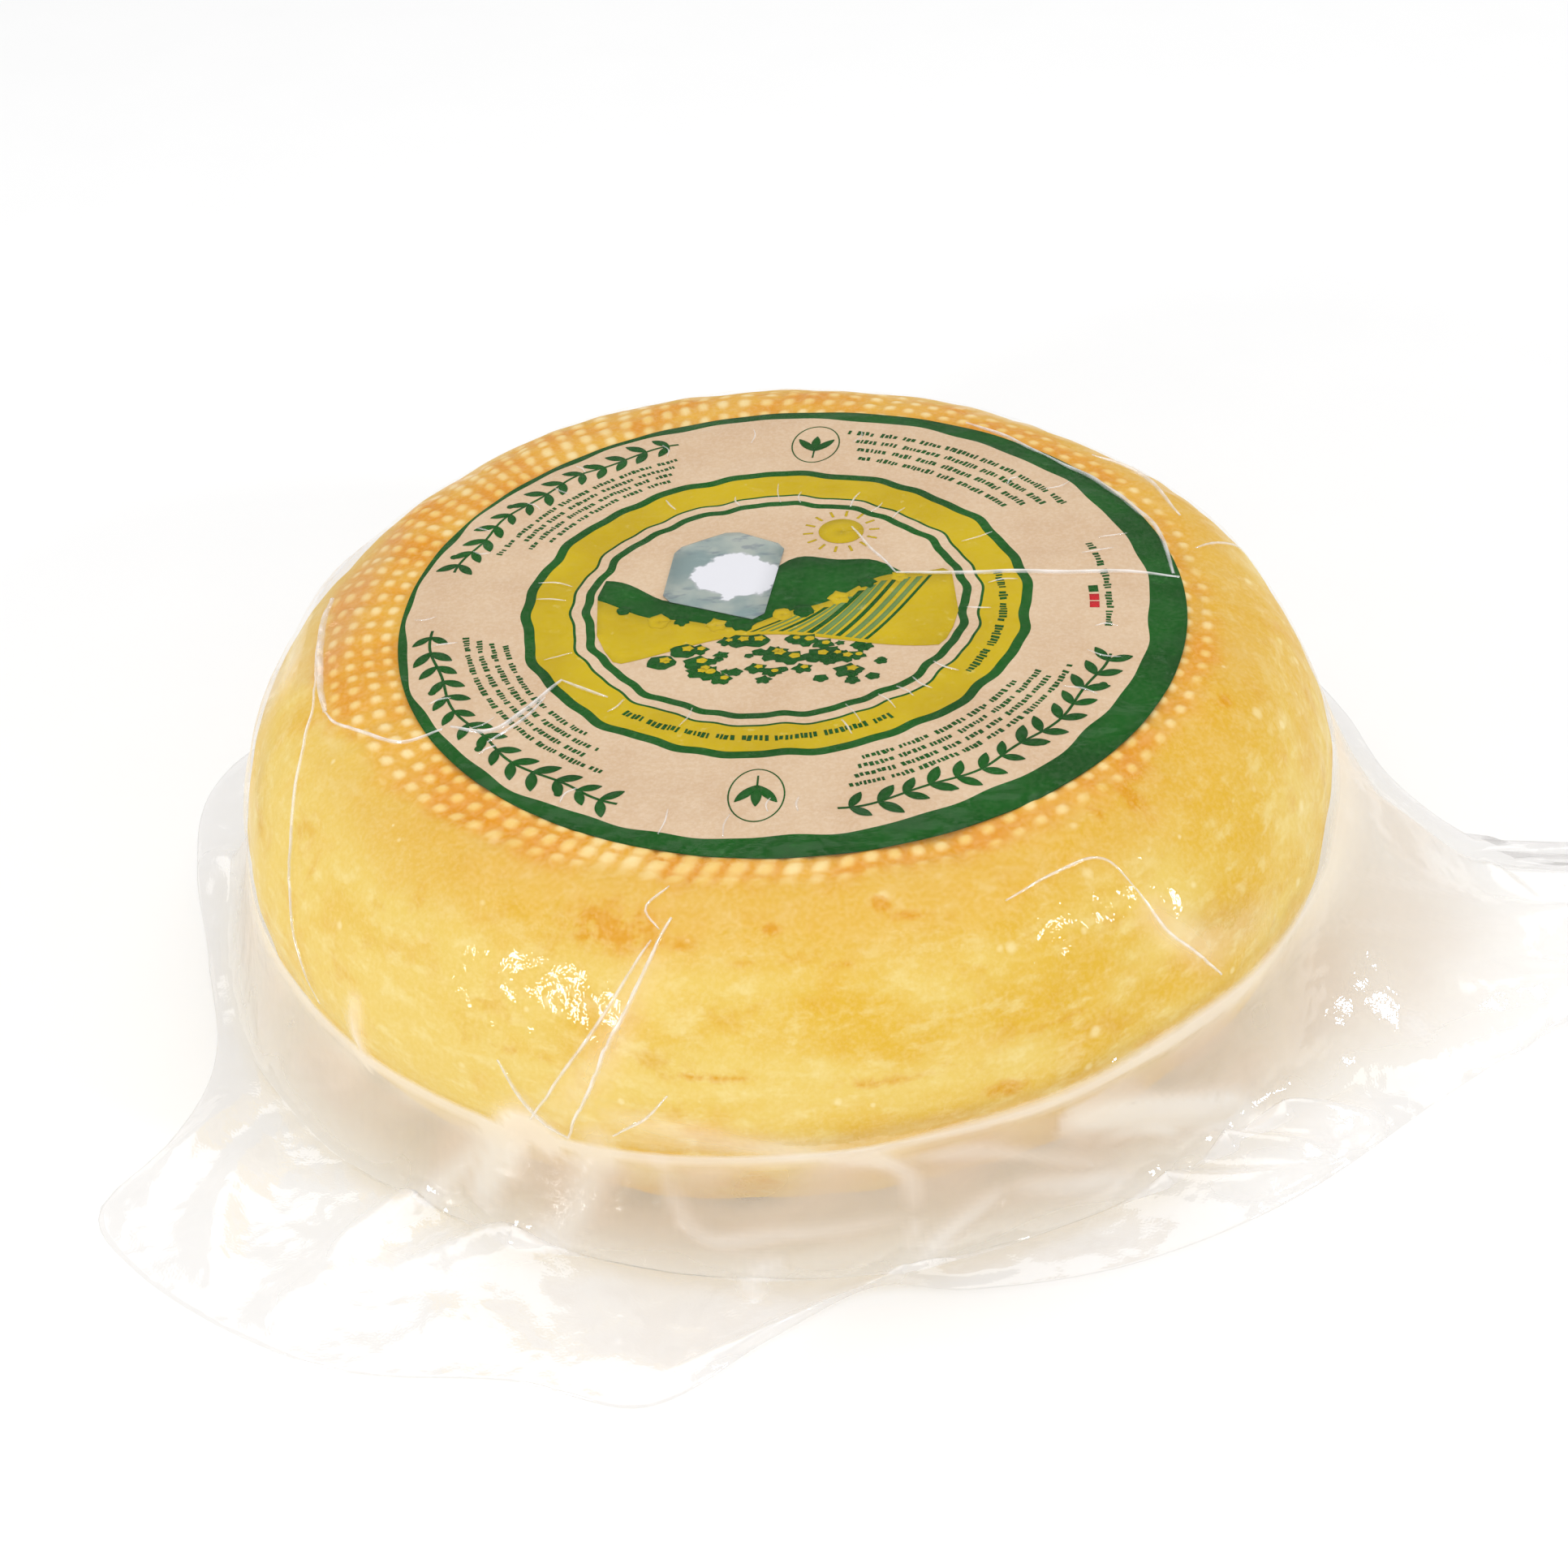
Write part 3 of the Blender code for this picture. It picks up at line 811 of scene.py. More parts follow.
# The bag: two sheets of clear laminate sealed round their edge, drawn tight over the cheese by the vacuum.
# The upper sheet leaves the rind at the belly in a small lip, drops to the table, and spreads as a creased
# skirt that gathers at the right towards the mouth. The lower sheet lies flat under the wheel.
BAG_EDGE_MM = (
    (170, -8), (156, -13), (143, -14), (130, -3), (119, 18), (115, 40),
    (107, 60), (88, 84), (58, 103), (24, 113), (-14, 114), (-50, 104),
    (-80, 84), (-104, 62), (-118, 42), (-118, 16), (-112, -12), (-107, -40),
    (-112, -60), (-122, -76), (-114, -90), (-96, -105), (-76, -115),
    (-50, -119), (-29, -126), (-9, -114), (8, -105), (24, -107), (50, -104),
    (79, -92), (109, -71), (132, -57), (150, -55), (172, -62),
)
# Round the wheel: (degrees, height where the film leaves the rind, reach of its slope to the floor), mm
BAG_TENT = (
    (-165, 29, 109), (-145, 25, 107), (-125, 25, 104), (-110, 27, 102.5),
    (-90, 29.5, 103.5), (-70, 31, 103.5), (-50, 32, 106), (-36, 31, 116),
    (-25, 31, 140), (-16, 33, 150), (-6, 37, 127), (8, 42, 117),
    (25, 42, 113), (45, 34, 109), (70, 30, 107), (105, 30, 106),
    (135, 31, 107), (160, 31, 112), (178, 30, 110),
)
FILM_STEPS = 500
BASE_FILM_Z = 0.15 * MM
SEAL_GAP = 0.12 * MM
FILM_CROWD = 0.45
FILM_CROWD_AT = math.radians(-14)
FILM_OVER_PAPER = 0.18 * MM
FILM_OVER_TAPE = 0.3 * MM
TENT_CURVE = 1.7
SKIRT_Z = 1.6 * MM
# Rows of the upper sheet's four parts, from the top's centre out, and places of the lower sheet's rows
FILM_ROWS = (25, 43, 37, 43)
LOWER_SHEET_ROWS = (4.0001, 4.015, 4.03, 4.06, 4.12, 4.3, 4.6, 5)
EDGE_Z = 0.8 * MM
bag_outline = smooth_curve(BAG_EDGE_MM, closed=True) * MM
outline_angles = np.arctan2(bag_outline[:, 1], bag_outline[:, 0])
outline_order = np.argsort(outline_angles)
outline_angles = outline_angles[outline_order]
outline_reach = np.hypot(*bag_outline[outline_order].T)


def film_lift(angle, along, radius):
    """The film's height above the rind: a hair, and more over the label and the sticker."""
    surface_r, surface_z = side_point(along)
    x, y = radius * np.cos(angle), radius * np.sin(angle)
    from_label = np.hypot(x - LABEL_CENTRE[0], y - LABEL_CENTRE[1])
    over_label = 1 - ease(from_label, LABEL_RADIUS - 0.2 * MM, LABEL_RADIUS + 3.2 * MM)
    over_paper = paper_z(x, y) + FILM_OVER_PAPER - surface_z
    centre = np.mean(np.array(STICKER_MM), axis=0) * MM
    over_tape = FILM_OVER_TAPE * (1 - ease(np.hypot(x - centre[0], y - centre[1]), 13 * MM, 18 * MM))
    return RIND_CLEARANCE + (over_paper - RIND_CLEARANCE) * over_label + over_tape


def film_point(angle, place):
    """Points of the film. Place runs 0 to 1 over the top, to 2 down the rind, to 3 down the slope,
    to 4 at the edge, and to 5 back under the wheel."""
    leave_z = around(BAG_TENT, angle, 1)
    foot = around(BAG_TENT, angle, 2)
    reach = np.interp(angle, outline_angles, outline_reach, period=FULL_TURN)
    leave = side_along(leave_z)
    over = np.clip(place, 0, 1)
    along = leave * np.clip(place - 1, 0, 1)
    radius = np.where(place < 1, TOP_EDGE_R * over, side_point(along)[0])
    on_rind = rind_point(angle, along, film_lift(angle, along, radius))
    on_rind[:, :2] *= over[:, None]
    start = np.hypot(on_rind[:, 0], on_rind[:, 1])
    share = np.clip(place - 2, 0, 1)
    slope = xyz(start + (foot - start) * share, angle,
                SKIRT_Z + (on_rind[:, 2] - SKIRT_Z) * (1 - share) ** TENT_CURVE)
    share = np.clip(place - 3, 0, 1)
    skirt = xyz(foot + (reach - foot) * share, angle, SKIRT_Z + (EDGE_Z - SKIRT_Z) * share)
    share = np.clip(place - 4, 0, 1)
    edge_lift = (EDGE_Z - SEAL_GAP - BASE_FILM_Z) * (1 - ease(share, 0, 0.06))
    base = xyz(reach * (1 - share), angle, BASE_FILM_Z + edge_lift)
    out = np.where((place <= 3)[:, None], slope, skirt)
    return np.where((place <= 2)[:, None], on_rind, np.where((place <= 4)[:, None], out, base))


FILM_TOP_MM = 64.3
SKIRT_LINE_MM = 1.5


def on_side(*places):
    """A line of points on the wheel's side, from degrees round and millimetres up."""
    degrees, z_mm = np.array(places, float).T
    radius, z = side_point(side_along(z_mm * MM))
    angle = np.radians(degrees)
    return xyz(radius + swell(angle, radius, z), angle, z).tolist()


def on_top(*places):
    """A line of points on the film over the label, from millimetres."""
    return [[x * MM, y * MM, FILM_TOP_MM * MM] for x, y in places]


def on_skirt(*places):
    """A line of points on the loose film, from millimetres; a place with no height lies on the table."""
    return [[part * MM for part in (*place, SKIRT_LINE_MM)[:3]] for place in places]


# Broad folds worked into the sheet: (points, height mm, half width mm)
BROAD_FOLDS = (
    (on_side(*((angle, 29.5) for angle in range(-118, -12, 8))), 2.4, 2.6),
    (on_side((150, 61), (163, 60), (176, 60), (-172, 60)), 3.4, 7),
    (on_side((168, 56), (180, 52), (-168, 47), (-158, 38)), 2.2, 5),
    (on_side((-52, 47), (-44, 40), (-36, 36)), 1.4, 7),
    (on_skirt((-47, -66, 12), (-65, -78), (-83, -92)), 4.2, 3.2),
    (on_skirt((-40, -74, 16), (-42, -87), (-55, -92), (-71, -95)), 4.6, 3.4),
    (on_skirt((-20, -98), (-6, -96), (12, -95), (17, -96)), 2.6, 3.6),
    (on_skirt((15, -93), (12, -103), (-2, -111), (-15, -116), (-26, -121)), 2.8, 2.2),
    (on_skirt((32, -88), (46, -87), (71, -90), (90, -84)), 3.4, 3.4),
    (on_skirt((31, -88), (20, -97), (11, -104)), 2.6, 2.6),
    (on_skirt((44, -80, 8), (58, -78), (72, -83), (88, -84)), 5.5, 3.6),
    (on_skirt((50, -76, 12), (68, -75), (82, -77), (97, -77)), 6, 3.6),
    (on_skirt((80, -60, 10), (105, -53), (118, -50), (150, -46)), 6.5, 5),
    (on_skirt((96, -42, 20), (118, -36), (140, -34), (166, -36)), 7, 6),
    (on_skirt((104, -18, 24), (124, -20), (146, -24), (168, -24)), 6.5, 5.5),
    (on_skirt((-96, -38, 10), (-106, -62), (-116, -76)), 4, 4),
    (on_skirt((-92, -52, 8), (-100, -76), (-100, -96)), 3, 3.5),
    (on_skirt((-70, -80, 5), (-84, -98), (-92, -104)), 2.4, 3),
    (on_skirt((-104, 10, 12), (-112, 14), (-117, 18)), 4, 5),
    (on_skirt((-92, 52, 10), (-100, 60), (-106, 62)), 4, 5),
    (on_skirt((-58, 90, 8), (-64, 96), (-66, 98)), 3.5, 5),
    (on_skirt((10, 106, 8), (12, 110), (14, 113)), 3.5, 5),
    (on_skirt((72, 82, 8), (78, 88), (82, 90)), 3.5, 5),
)
# Creases in the loose film: (points in mm, width mm, height mm, whiteness: the crest's whitening together
# with a painted highlight)
SKIRT_CREASES = (
    (((-44.6, -89, 33.5), (-64.8, -81.4, 4.6), (-82.9, -93.2, 2.6)), 2.6, 0.6, 0.8),
    (((-33, -94.8, 31.9), (-41, -93, 7.7), (-54.6, -95.1, 4.7), (-70.7, -96, 2.5)), 4.6, 0.8, 1),
    (((-56.8, -85.3, 5.6), (-51.5, -86.1, 17.4), (-46.5, -88.6, 26.9), (-40.3, -91.7, 23)), 4.4, 0.7, 1.9),
    (((-82.9, -93.2, 2.6), (-77.8, -89.9, 3.3), (-71.8, -92.7, 2.2), (-65.2, -99.6, 2.1)), 1.2, 0.6, 1),
    (((15.5, -100.3, 11.6), (12.3, -104.7, 3.5), (-2.5, -111, 1.5), (-15.4, -116.8, 2.9),
      (-25.8, -121.5, 2.1)), 1.3, 0.9, 1.3),
    (((-26.4, -97.9, 30), (-19.8, -99.6, 9.8), (-5.5, -101.6, 10.6), (15.5, -100.3, 11.6)), 1.6, 0.6, 0.5),
    (((-34.4, -93.7, 33.3), (-11.1, -100.8, 31), (11.9, -99.7, 23.2), (15.5, -100.3, 11.6)), 1.8, 0.6, 0.6),
    (((30.4, -96.8, 13.3), (19.2, -100.7, 6), (10.8, -106.3, 1.5)), 1.6, 0.6, 0.7),
    (((30.4, -96.8, 13.3), (45.3, -92.1, 7.4), (70.6, -92.7, 3.5), (88.1, -85.7, 1.1)), 3, 0.6, 0.9),
    (((38.9, -93, 23.2), (50.2, -87.7, 18.8), (67.9, -78.7, 8.8), (81.1, -80.5, 5.1),
      (97, -79, 1.5)), 4.4, 1.2, 2),
    (((45.9, -90.2, 17.4), (57.3, -84.9, 12), (71.5, -87.6, 3.9), (83.7, -87.2, 2.8)), 2.2, 0.8, 1.2),
    (((103.6, -58.9, 8.8), (107.6, -61.2, 5.2)), 1.6, 0.7, 1.2),
    (((111.7, -64.7, 2.2), (117.4, -62.8, 2.3), (130.9, -56.9, 2.3)), 1, 0.5, 0.8),
    (((93.7, -50.1, 23.1), (110.1, -43.8, 15.2), (129, -37.7, 8.4), (149, -38.4, 6.2)), 1.4, 0.6, 0.7),
    (((96.7, -41.6, 25.9), (116.2, -33.5, 14.7), (140.1, -27.8, 4.8)), 1, 0.5, 0.5),
    (((100, -15.5, 33.8), (107.3, -18.6, 24.4), (113.9, -21.5, 17.8), (120.5, -22.6, 11.3)), 1, 0.5, 0.9),
    (((-73.1, -66.6, 37.7), (-74.8, -65.9, 26.8), (-73.5, -68, 21.2)), 1.4, 0.6, 0.8),
    (((-84.2, -92.4, 2.3), (-88.1, -98.6, 2.5), (-86.3, -104.1, 2)), 1, 0.5, 0.6),
    (((49.3, -90.1, 8.3), (28.7, -96.5, 20.9), (9.4, -100, 24.6)), 1.2, 0.4, 0.4),
    (((-6, -102.4, 5.7), (-12, -103.9, 2.9), (-10, -107.6, 2.5)), 1.6, 0.6, 1),
    (((-22.5, -83.8, 57), (-31.3, -91, 44), (-41.4, -90.9, 29)), 4.5, 0.5, 0.28),
    (((53.7, -73.9, 52), (60.3, -74.5, 45), (68.3, -72, 35)), 5, 0.5, 0.34),
    (((-85.2, 4.5, 58), (-92.8, -3.2, 50), (-97, -8.5, 41), (-98.4, -15.6, 31)), 9, 0.7, 0.6),
)


def nearness(points, line):
    """Distances from points to a smooth line, and how far along it they are, from 0 to 1."""
    curve = smooth_curve(line, 6) if len(line) > 2 else np.array(line, float)
    best = np.full(len(points), 1)
    at = np.zeros(len(points))
    count = len(curve) - 1
    for index in range(count):
        start, way = curve[index], curve[index + 1] - curve[index]
        share = np.clip((points - start) @ way / max(way @ way, 1e-12), 0, 1)
        distance = np.linalg.norm(points - start - share[:, None] * way, axis=1)
        closer = distance < best
        best = np.where(closer, distance, best)
        at = np.where(closer, (index + share) / count, at)
    return best, at


def tapered(at, ends):
    """Full along a line's middle and down to nothing at its ends."""
    return np.sqrt(np.clip(np.sin(pi * np.clip(at, ends, 1 - ends)), 0, 1))


def crumpled(points, wavelength, seed):
    """Rounded crumples, from 0 to 1."""
    return 0.5 + 0.5 * np.tanh(waves(points * (1, 1, 0.4), wavelength, seed, 9))


def pleated(points, wavelength, seed):
    """Thin sharp crests with flat film between them, from 0 to 1."""
    return np.clip(1 - 1.6 * np.abs(waves(points, wavelength, seed, 9)), 0, 1)


# Heights of the loose film's crumples, and of the tight film's pleats on the side and over the label
CRUMPLE_HEIGHT = 1.4 * MM
SMALL_CRUMPLE_HEIGHT = 0.30 * MM
SIDE_PLEAT_HEIGHT = 0.10 * MM
LABEL_PLEAT_HEIGHT = 0.06 * MM
# How white the film looks: at the lip where it leaves the rind, down its slope, on its folds, where it stands
# free, along its creases (whitening there with a painted highlight), at most, and on the lower sheet
LIP_MILK = 0.84
SLOPE_MILK = 0.60
FOLD_MILK = 0.14
FREE_MILK = 0.20
CREASE_MILK_AND_HIGHLIGHT = 1.1
MOST_MILK = 0.95
LOWER_MILK = 0.01


def bag():
    """Both sheets with their folds, and how hazy and how milky the film is at each place, with painted
    highlights along its creases and painted shade on its slope and folds.
    """
    parts = [part + np.linspace(0, 1, count)[1:] for part, count in enumerate(FILM_ROWS)]
    places = np.concatenate([[0], *parts, LOWER_SHEET_ROWS])
    state = {}

    def place(rows, angles):
        state["place"] = places[rows]
        state["angle"] = angles - FILM_CROWD * np.sin(angles - FILM_CROWD_AT)
        return film_point(state["angle"], state["place"])

    mesh, _, _ = turned(len(places), FILM_STEPS, place)
    mesh.normal_update()
    points = np.array([vert.co for vert in mesh.verts])
    normals = np.array([vert.normal for vert in mesh.verts])
    where, angle = state["place"], state["angle"]
    upper, past_top = where <= 4, where > 1
    off = ease(where, 2, 2.2)
    raised = np.zeros(len(points))
    for line, height, width in BROAD_FOLDS:
        distance, at = nearness(points, line)
        profile = np.exp(-(distance / (width * MM)) ** 1.4)
        raised = np.maximum(raised, height * MM * tapered(at, 0.02) * profile)
    # Streaks: whitening along the skirt's creases, partly a painted highlight.
    streak_whitening_and_highlight = np.zeros(len(points))
    for line, width, height, whiteness_and_highlight in SKIRT_CREASES:
        distance, at = nearness(points, np.array(line) * MM)
        profile = np.exp(-(distance / ((0.4 * width + 1.1) * MM)) ** 2) * tapered(at, 0)
        raised = np.maximum(raised, height * MM * profile)
        streak_whitening_and_highlight = np.maximum(streak_whitening_and_highlight, whiteness_and_highlight * profile)
    # The folds, the crumples and the pleats lift the sheet along its own direction
    crumples = (CRUMPLE_HEIGHT * crumpled(points, 24 * MM, 31)
                + SMALL_CRUMPLE_HEIGHT * crumpled(points, 9 * MM, 32))
    loose = ease(where, 2.6, 3.1) * (1 - 0.8 * ease(where, 3.6, 4)) * crumples
    side_share = (1 - off) * ease(where, 1.08, 1.25)
    label_share = 1 - ease(where, 0.95, 1.1)
    pleats = (side_share * SIDE_PLEAT_HEIGHT * pleated(points, 13 * MM, 33)
              + label_share * LABEL_PLEAT_HEIGHT * pleated(points, 16 * MM, 34))
    total = np.where(upper, raised * (1 - ease(where, 3.9, 4)) + loose + pleats, 0)
    for vert, point, normal, move in zip(mesh.verts, points, normals, total):
        vert.co = point + normal * move
    # Haze: how loose and dull the film is, a little on the slope and all of it on the skirt
    haze = 0.3 * np.clip(off + ease(raised, 0.3 * MM, 1.6 * MM) * past_top, 0, 1)
    haze = upper * (haze + 0.7 * ease(where, 2.9, 3.5))
    # Milk: how white it looks, most at the lip, on the slope and along the creases, where the white is partly
    # a painted highlight
    lip_width = 0.05 + 0.08 * lobe(angle, -28, 26)
    lip_fade = np.exp(-(np.clip(where - 2.045, 0, 1) / lip_width) ** 2)
    lip = LIP_MILK * lip_fade * ease(where, 2, 2.01)
    slope = SLOPE_MILK * ease(where, 2, 2.1) * (1 - ease(where, 2.3, 2.95))
    patchy = 0.75 + 0.25 * waves(points, 15 * MM, 35, 9)
    folds = FOLD_MILK * ease(raised, 0.6 * MM, 3 * MM) * (where > 2.2)
    free = off * (FREE_MILK - 0.12 * ease(where, 3, 3.4))
    milk_and_highlight = np.maximum(lip, slope * patchy) + folds + free + CREASE_MILK_AND_HIGHLIGHT * streak_whitening_and_highlight
    milk_and_highlight = np.where(upper, np.minimum(milk_and_highlight, MOST_MILK), LOWER_MILK)
    # Painted shade: a warm brown tint on the slope below the belly, standing for the wheel's shade and the
    # cheese's colour bounced into it, and on folds over the rind
    webs = 0.9 * lobe(angle, 5, 38) + 0.8 * lobe(angle, 175, 48)
    painted_slope_shade = (1 - webs) * ease(where, 2.04, 2.2) * (1 - ease(where, 2.35, 2.9))
    painted_fold_shade = ease(raised, 0.8 * MM, 3 * MM) * past_top * (where < 2)
    painted_shade = upper * (1 - np.minimum(streak_whitening_and_highlight, 1)) * np.maximum(painted_slope_shade, painted_fold_shade)
    return mesh, {"haze": haze, "milk_and_highlight": milk_and_highlight, "painted_shade": painted_shade}


def film_material():
    """Clear film: a gloss broken by crinkles and an embossed grain, milky and duller where it is loose, white
    as a painted highlight along creases, and tinted warm brown as painted shade.
    """
    material, tree = fresh_material("clear_film")
    where = place_in(tree)
    haze = own(tree, "haze")
    milk_and_highlight_share = own(tree, "milk_and_highlight")
    painted_shade = own(tree, "painted_shade")
    ripples = cloud(tree, where, 120, 1, 0.5)
    crinkles = cloud(tree, where, 330, 1, 0.5, "RIDGED_MULTIFRACTAL")
    emboss = cloud(tree, where, 2400, 0, 0.5)
    height = scaled(tree, crinkles, 0.24, ripples)
    height = scaled(tree, emboss, 0.028, height)
    bump = add(tree, "Bump", {"Strength": 1, "Distance": MM, "Height": height})
    facing = add(tree, "LayerWeight", {"Blend": 0.5, "Normal": bump}).node.outputs["Facing"]
    grazing = add(tree, "Math", [facing, 5], operation="POWER")
    glossy = between(tree, haze, 0, 0.3, 0.020, 0.13)
    mirror = scaled(tree, grazing, 0.32, glossy)
    tint = blended(tree, haze, (0.995, 0.995, 0.992, 1), (0.960, 0.953, 0.952, 1))
    # Painted shade: the film's clear tint turns warm brown where the shade is painted.
    tint = blended(tree, painted_shade, tint, (0.97, 0.945, 0.93, 1))
    clear = add(tree, "BsdfTransparent", [tint])
    # Painted shade: the milky veil turns brown there too.
    white = blended(tree, painted_shade, (0.97, 0.96, 0.955, 1), (0.77, 0.65, 0.53, 1))
    veil = add(tree, "BsdfDiffuse", [white])
    glow = add(tree, "BsdfTranslucent", [white])
    milk_and_highlight = add(tree, "MixShader", [0.5, veil, glow])
    body = add(tree, "MixShader", [milk_and_highlight_share, clear, milk_and_highlight])
    dulled = between(tree, haze, 0.3, 1, 0.03, 0.14)
    gloss = add(tree, "BsdfGlossy", {"Color": (1, 1, 1, 1), "Roughness": dulled, "Normal": bump})
    film = add(tree, "MixShader", [mirror, body, gloss])
    past = add(tree, "BsdfTransparent", [(0.95, 0.95, 0.95, 1)])
    lamp_ray = add(tree, "LightPath").node.outputs["Is Shadow Ray"]
    seen = add(tree, "MixShader", [lamp_ray, film, past])
    shown(tree, seen)
    return material


clear_film = film_material()
mesh, numbers = bag()
film_tree = BVHTree.FromBMesh(mesh)
film = settled("bag_film", mesh, [clear_film], numbers)
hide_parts("vacuum_bag")

# The film's creases: sharp little pleats that the vacuum pressed into the sheet, whitened along their crests,
# partly as a painted highlight.
# Each is a narrow ridge laid a hair above the sheet, along the places of it that are nearest to a line.
# (points, width mm, height mm, whiteness, partly a painted highlight)
CREASES = (
    (on_side((172, 60.7), (-178, 60.6), (-166, 60.5)), 2.6, 0.9, 0.5),
    (on_side((-166, 60.5), (-162.5, 61.2), (-153.5, 62.7)) + on_top((-58, -31)), 1.1, 0.6, 0.8),
    (on_top((-56.4, -30.7), (-50, -33), (-44.8, -28.6), (-38, -19.4)), 1.5, 0.6, 0.8),
    (on_top((-50, -36.1), (-44, -30), (-40.5, -24)), 0.8, 0.4, 0.7),
    (on_top((-38, -19.4), (-33.9, -22.8), (-29.7, -25.7)), 0.9, 0.4, 0.7),
    (on_side((-179, 60.4), (-169, 59.8), (-165, 58.3), (-157, 52), (-145, 28)), 0.8, 0.5, 0.5),
    (on_side((-104, 60), (-107.5, 49), (-113, 27)), 1.3, 0.9, 0.7),
    (on_side((-105.6, 58), (-110, 47), (-116.5, 29)), 1.1, 0.7, 0.6),
    (on_side((-105, 62), (-107, 60.5), (-105, 59)), 0.7, 0.4, 0.6),
    (on_side((-120, 38), (-117, 32), (-113, 27)), 1, 0.6, 0.5),
    (on_side((-103, 38), (-105, 34), (-108, 30)), 0.8, 0.5, 0.6),
    (on_side((-68, 58), (-60, 58.8), (-55.5, 58), (-53.7, 53.3)), 0.8, 0.4, 0.5),
    (on_side((-53.7, 53.3), (-51.9, 45.5), (-47.4, 34.9)), 1, 0.6, 0.7),
    (on_top((15.1, 23.2), (18, 16), (22.1, 7)), 0.9, 0.4, 0.7),
    (on_top((22.1, 7), (35.9, 4.9), (50.3, 3.1), (64.6, 1.4)) + on_side((0, 62.9)), 1.3, 0.6, 0.9),
    (on_top((54, 44.9), (62, 34.7), (68, 23.6), (71.3, 14), (71.1, 1)), 1.6, 0.6, 0.6),
    (on_top((40, 60), (48, 52), (54, 44.9)), 1, 0.5, 0.7),
    (on_side((36, 62), (28, 61), (16, 61.6)), 1.4, 0.6, 0.6),
    (on_side((8, 62), (10, 60), (12, 56)), 0.7, 0.4, 0.6),
)
CREASE_STEP = 0.9 * MM
CREASE_CELLS = 6
CREASE_LIFT = 0.12 * MM
CREASE_THICK = 0.06 * MM
CREASE_HAZE = 0.3
RIM_CREASES = 46


def rim_creases():
    """Faint little pleats that run outwards where the print's rings are, by a seeded draw."""
    rng = np.random.default_rng(14)
    pleats = []
    for number in range(RIM_CREASES):
        at = FULL_TURN * (number + rng.uniform(-0.35, 0.35)) / RIM_CREASES
        low = rng.choice((61, 57, 38, 34))
        length = rng.uniform(3, 6.5)
        bend = rng.uniform(-0.02, 0.02)
        width, white = rng.uniform(0.35, 0.7), rng.uniform(0.25, 0.6)
        stops = ((low, at), (low + 0.5 * length, at + bend), (low + length, at + 0.5 * bend))
        line = on_top(*((reach * cos(turn), reach * sin(turn)) for reach, turn in stops))
        pleats.append((line, width, 0.16, white))
    return pleats


def ridges(creases):
    """All the creases in one mesh, with how white each place is, that white being partly a painted highlight.
    """
    mesh = bmesh.new()
    white = []
    for line, width, height, whiteness_and_highlight in creases:
        curve = smooth_curve(line, 24) if len(line) > 2 else np.linspace(line[0], line[1], 24)
        length = np.concatenate([[0], np.cumsum(np.linalg.norm(np.diff(curve, axis=0), axis=1))])
        count = max(6, int(length[-1] / CREASE_STEP))
        at = np.linspace(0, length[-1], count + 1)
        path = np.stack([np.interp(at, length, curve[:, axis]) for axis in range(3)], axis=1)
        path += 0.12 * MM * np.stack([waves(path, 9 * MM, 41 + axis, 6) for axis in range(3)], axis=1)
        spots = [film_tree.find_nearest(Vector(point))[:2] for point in path]
        made = bmesh.ops.create_grid(mesh, x_segments=count, y_segments=CREASE_CELLS, size=0.5)
        for vert in made["verts"]:
            step = round((vert.co.x + 0.5) * count)
            t = 2 * vert.co.y
            spot, normal = spots[step]
            ahead = spots[min(step + 1, count)][0] - spots[max(step - 1, 0)][0]
            aside = normal.cross(ahead).normalized()
            taper = sin(pi * min(max(step / count, 0.03), 0.97)) ** 0.5
            crown = cos(0.5 * pi * t) ** 1.3 if abs(t) < 1 else 0
            rise = height * MM * taper * crown
            across = t * 0.32 * width * MM * (0.4 + 0.6 * taper)
            vert.co = spot + aside * across + normal * (rise + CREASE_LIFT)
            # Painted highlight: the crest's white comes and goes along each crease.
            broken = 0.5 + 0.5 * sin(7 * step / count * pi + height * 40) ** 2
            white.append(whiteness_and_highlight * crown * broken)
    return mesh, {"haze": np.full(len(white), CREASE_HAZE), "milk_and_highlight": white, "painted_shade": np.zeros(len(white))}


mesh, numbers = ridges([*CREASES, *rim_creases()])
creased = settled("film_creases", mesh, [clear_film], numbers)
thicken(creased, CREASE_THICK, 1)

# The table: a plain white surface, a hair below the pack and no part of it.
# It is matt, with a faint cloudiness, so that the film's shade falls softly on it.
TABLE_HALF = 3
TABLE_Z = -0.2 * MM
table_mesh = bmesh.new()
bmesh.ops.create_grid(table_mesh, x_segments=1, y_segments=1, size=TABLE_HALF)
bmesh.ops.translate(table_mesh, verts=table_mesh.verts[:], vec=(0, 0, TABLE_Z))
white_table, table_tree = fresh_material("white_table")
table_grain = cloud(table_tree, place_in(table_tree), 30)
table_tone = blended(table_tree, table_grain, (0.93, 0.93, 0.93, 1), (0.95, 0.95, 0.95, 1))
table_shader = add(table_tree, "BsdfPrincipled", {"Base Color": table_tone, "Roughness": 0.9,
                                                  "Specular IOR Level": 0.1})
shown(table_tree, table_shader)
table = finished("table", table_mesh, [white_table])

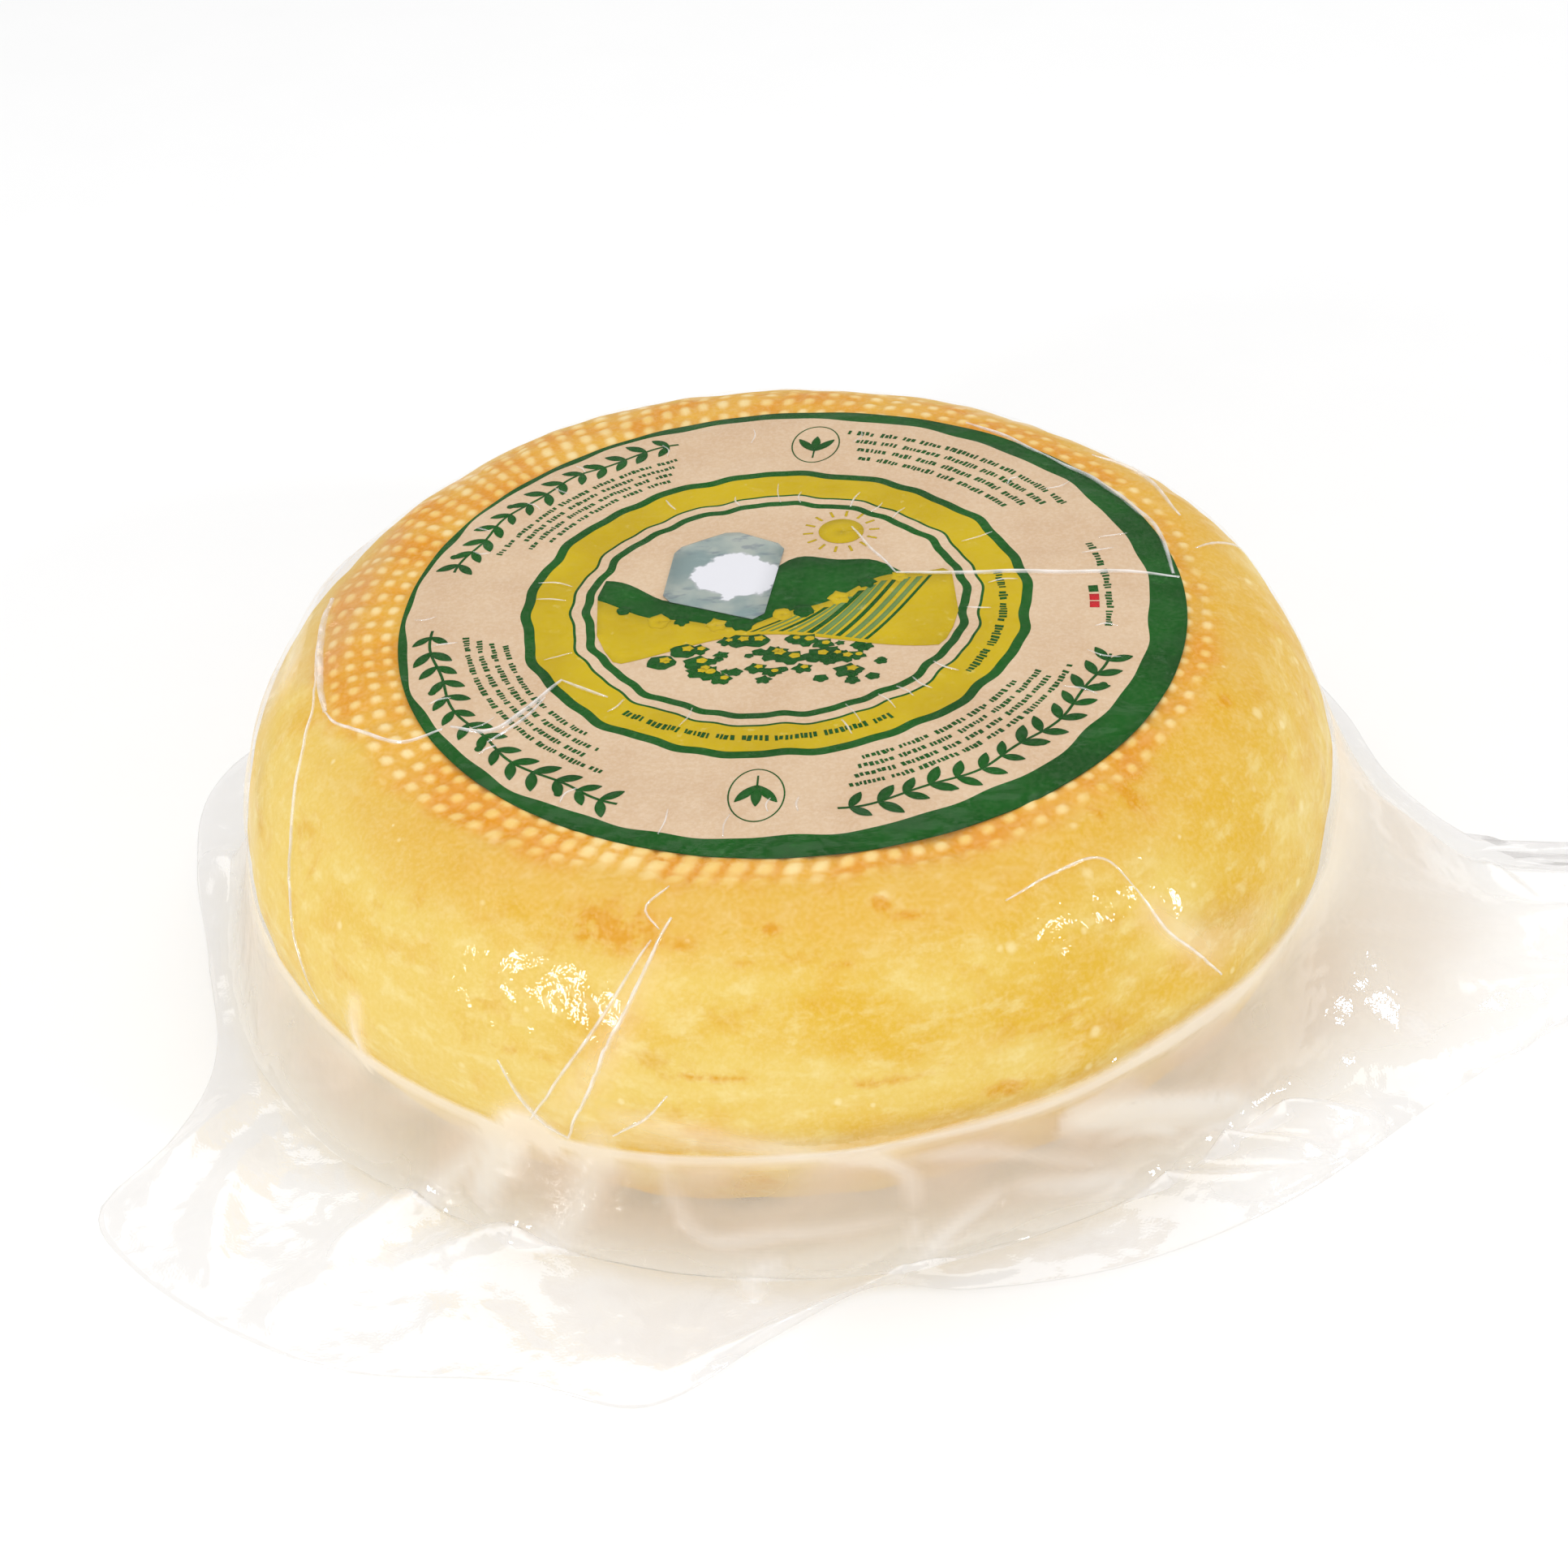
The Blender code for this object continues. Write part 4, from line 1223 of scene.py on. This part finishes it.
# The light: a white room, a small softbox low at each side in front, and a broad one overhead.
# The small ones give the film its highlights. Degrees round and up, distance and size in metres, watts.
WORLD_STRENGTH = 0.65
LIT_POINT = Vector((0, 0, 0.03))
SOFTBOXES = (
    ("left_softbox", -136, 17, 1.1, (0.17, 0.15), 3.2),
    ("right_softbox", -29.5, 23, 1.1, (0.12, 0.13), 2.4),
    ("top_softbox", 90, 84, 1.4, (1.9, 1.9), 10.6),
)
world = bpy.data.worlds.new("white_room")
bpy.context.scene.world = world
world.use_nodes = True
world.node_tree.nodes["Background"].inputs[0].default_value = (1, 1, 1, 1)
world.node_tree.nodes["Background"].inputs[1].default_value = WORLD_STRENGTH
for name, azimuth, elevation, distance, size, power in SOFTBOXES:
    lamp = bpy.data.lights.new(name, "AREA")
    lamp.shape = "RECTANGLE"
    lamp.size, lamp.size_y = size
    lamp.energy = power
    holder = linked(name, lamp)
    az, el = math.radians(azimuth), math.radians(elevation)
    way = Vector((cos(az) * cos(el), sin(az) * cos(el), sin(el)))
    holder.location = LIT_POINT + way * distance
    holder.rotation_mode = "QUATERNION"
    holder.rotation_quaternion = way.to_track_quat("Z", "Y")

# The camera: it looks down at the front of the pack, slightly rolled, as the photograph does.
FRAME_PIXELS = 1932
FOCAL_PIXELS = 3200
SENSOR_MM = 36
CAMERA_DISTANCE = 0.4882
CAMERA_ELEVATION = math.radians(37.54)
CAMERA_ROLL = math.radians(-4.08)
CAMERA_TARGET = Vector((-0.0009, 0, 0.0234))
lens = bpy.data.cameras.new("camera")
lens.sensor_width = SENSOR_MM
lens.lens = FOCAL_PIXELS / FRAME_PIXELS * SENSOR_MM
camera = linked("camera", lens)
back = Vector((0, -cos(CAMERA_ELEVATION), sin(CAMERA_ELEVATION)))
right = Vector((1, 0, 0))
up = back.cross(right)
rolled_right = right * cos(CAMERA_ROLL) + up * sin(CAMERA_ROLL)
rolled_up = up * cos(CAMERA_ROLL) - right * sin(CAMERA_ROLL)
camera.matrix_world = (Matrix.Translation(CAMERA_TARGET + back * CAMERA_DISTANCE)
                       @ Matrix((rolled_right, rolled_up, back)).transposed().to_4x4())
bpy.context.scene.camera = camera
# Plain colours, enough bounces for rays to pass the film's layers, and no more than that
bpy.context.scene.view_settings.view_transform = "Standard"
bpy.context.scene.cycles.transparent_max_bounces = 16
bpy.context.scene.cycles.diffuse_bounces = 3
bpy.context.scene.cycles.glossy_bounces = 2
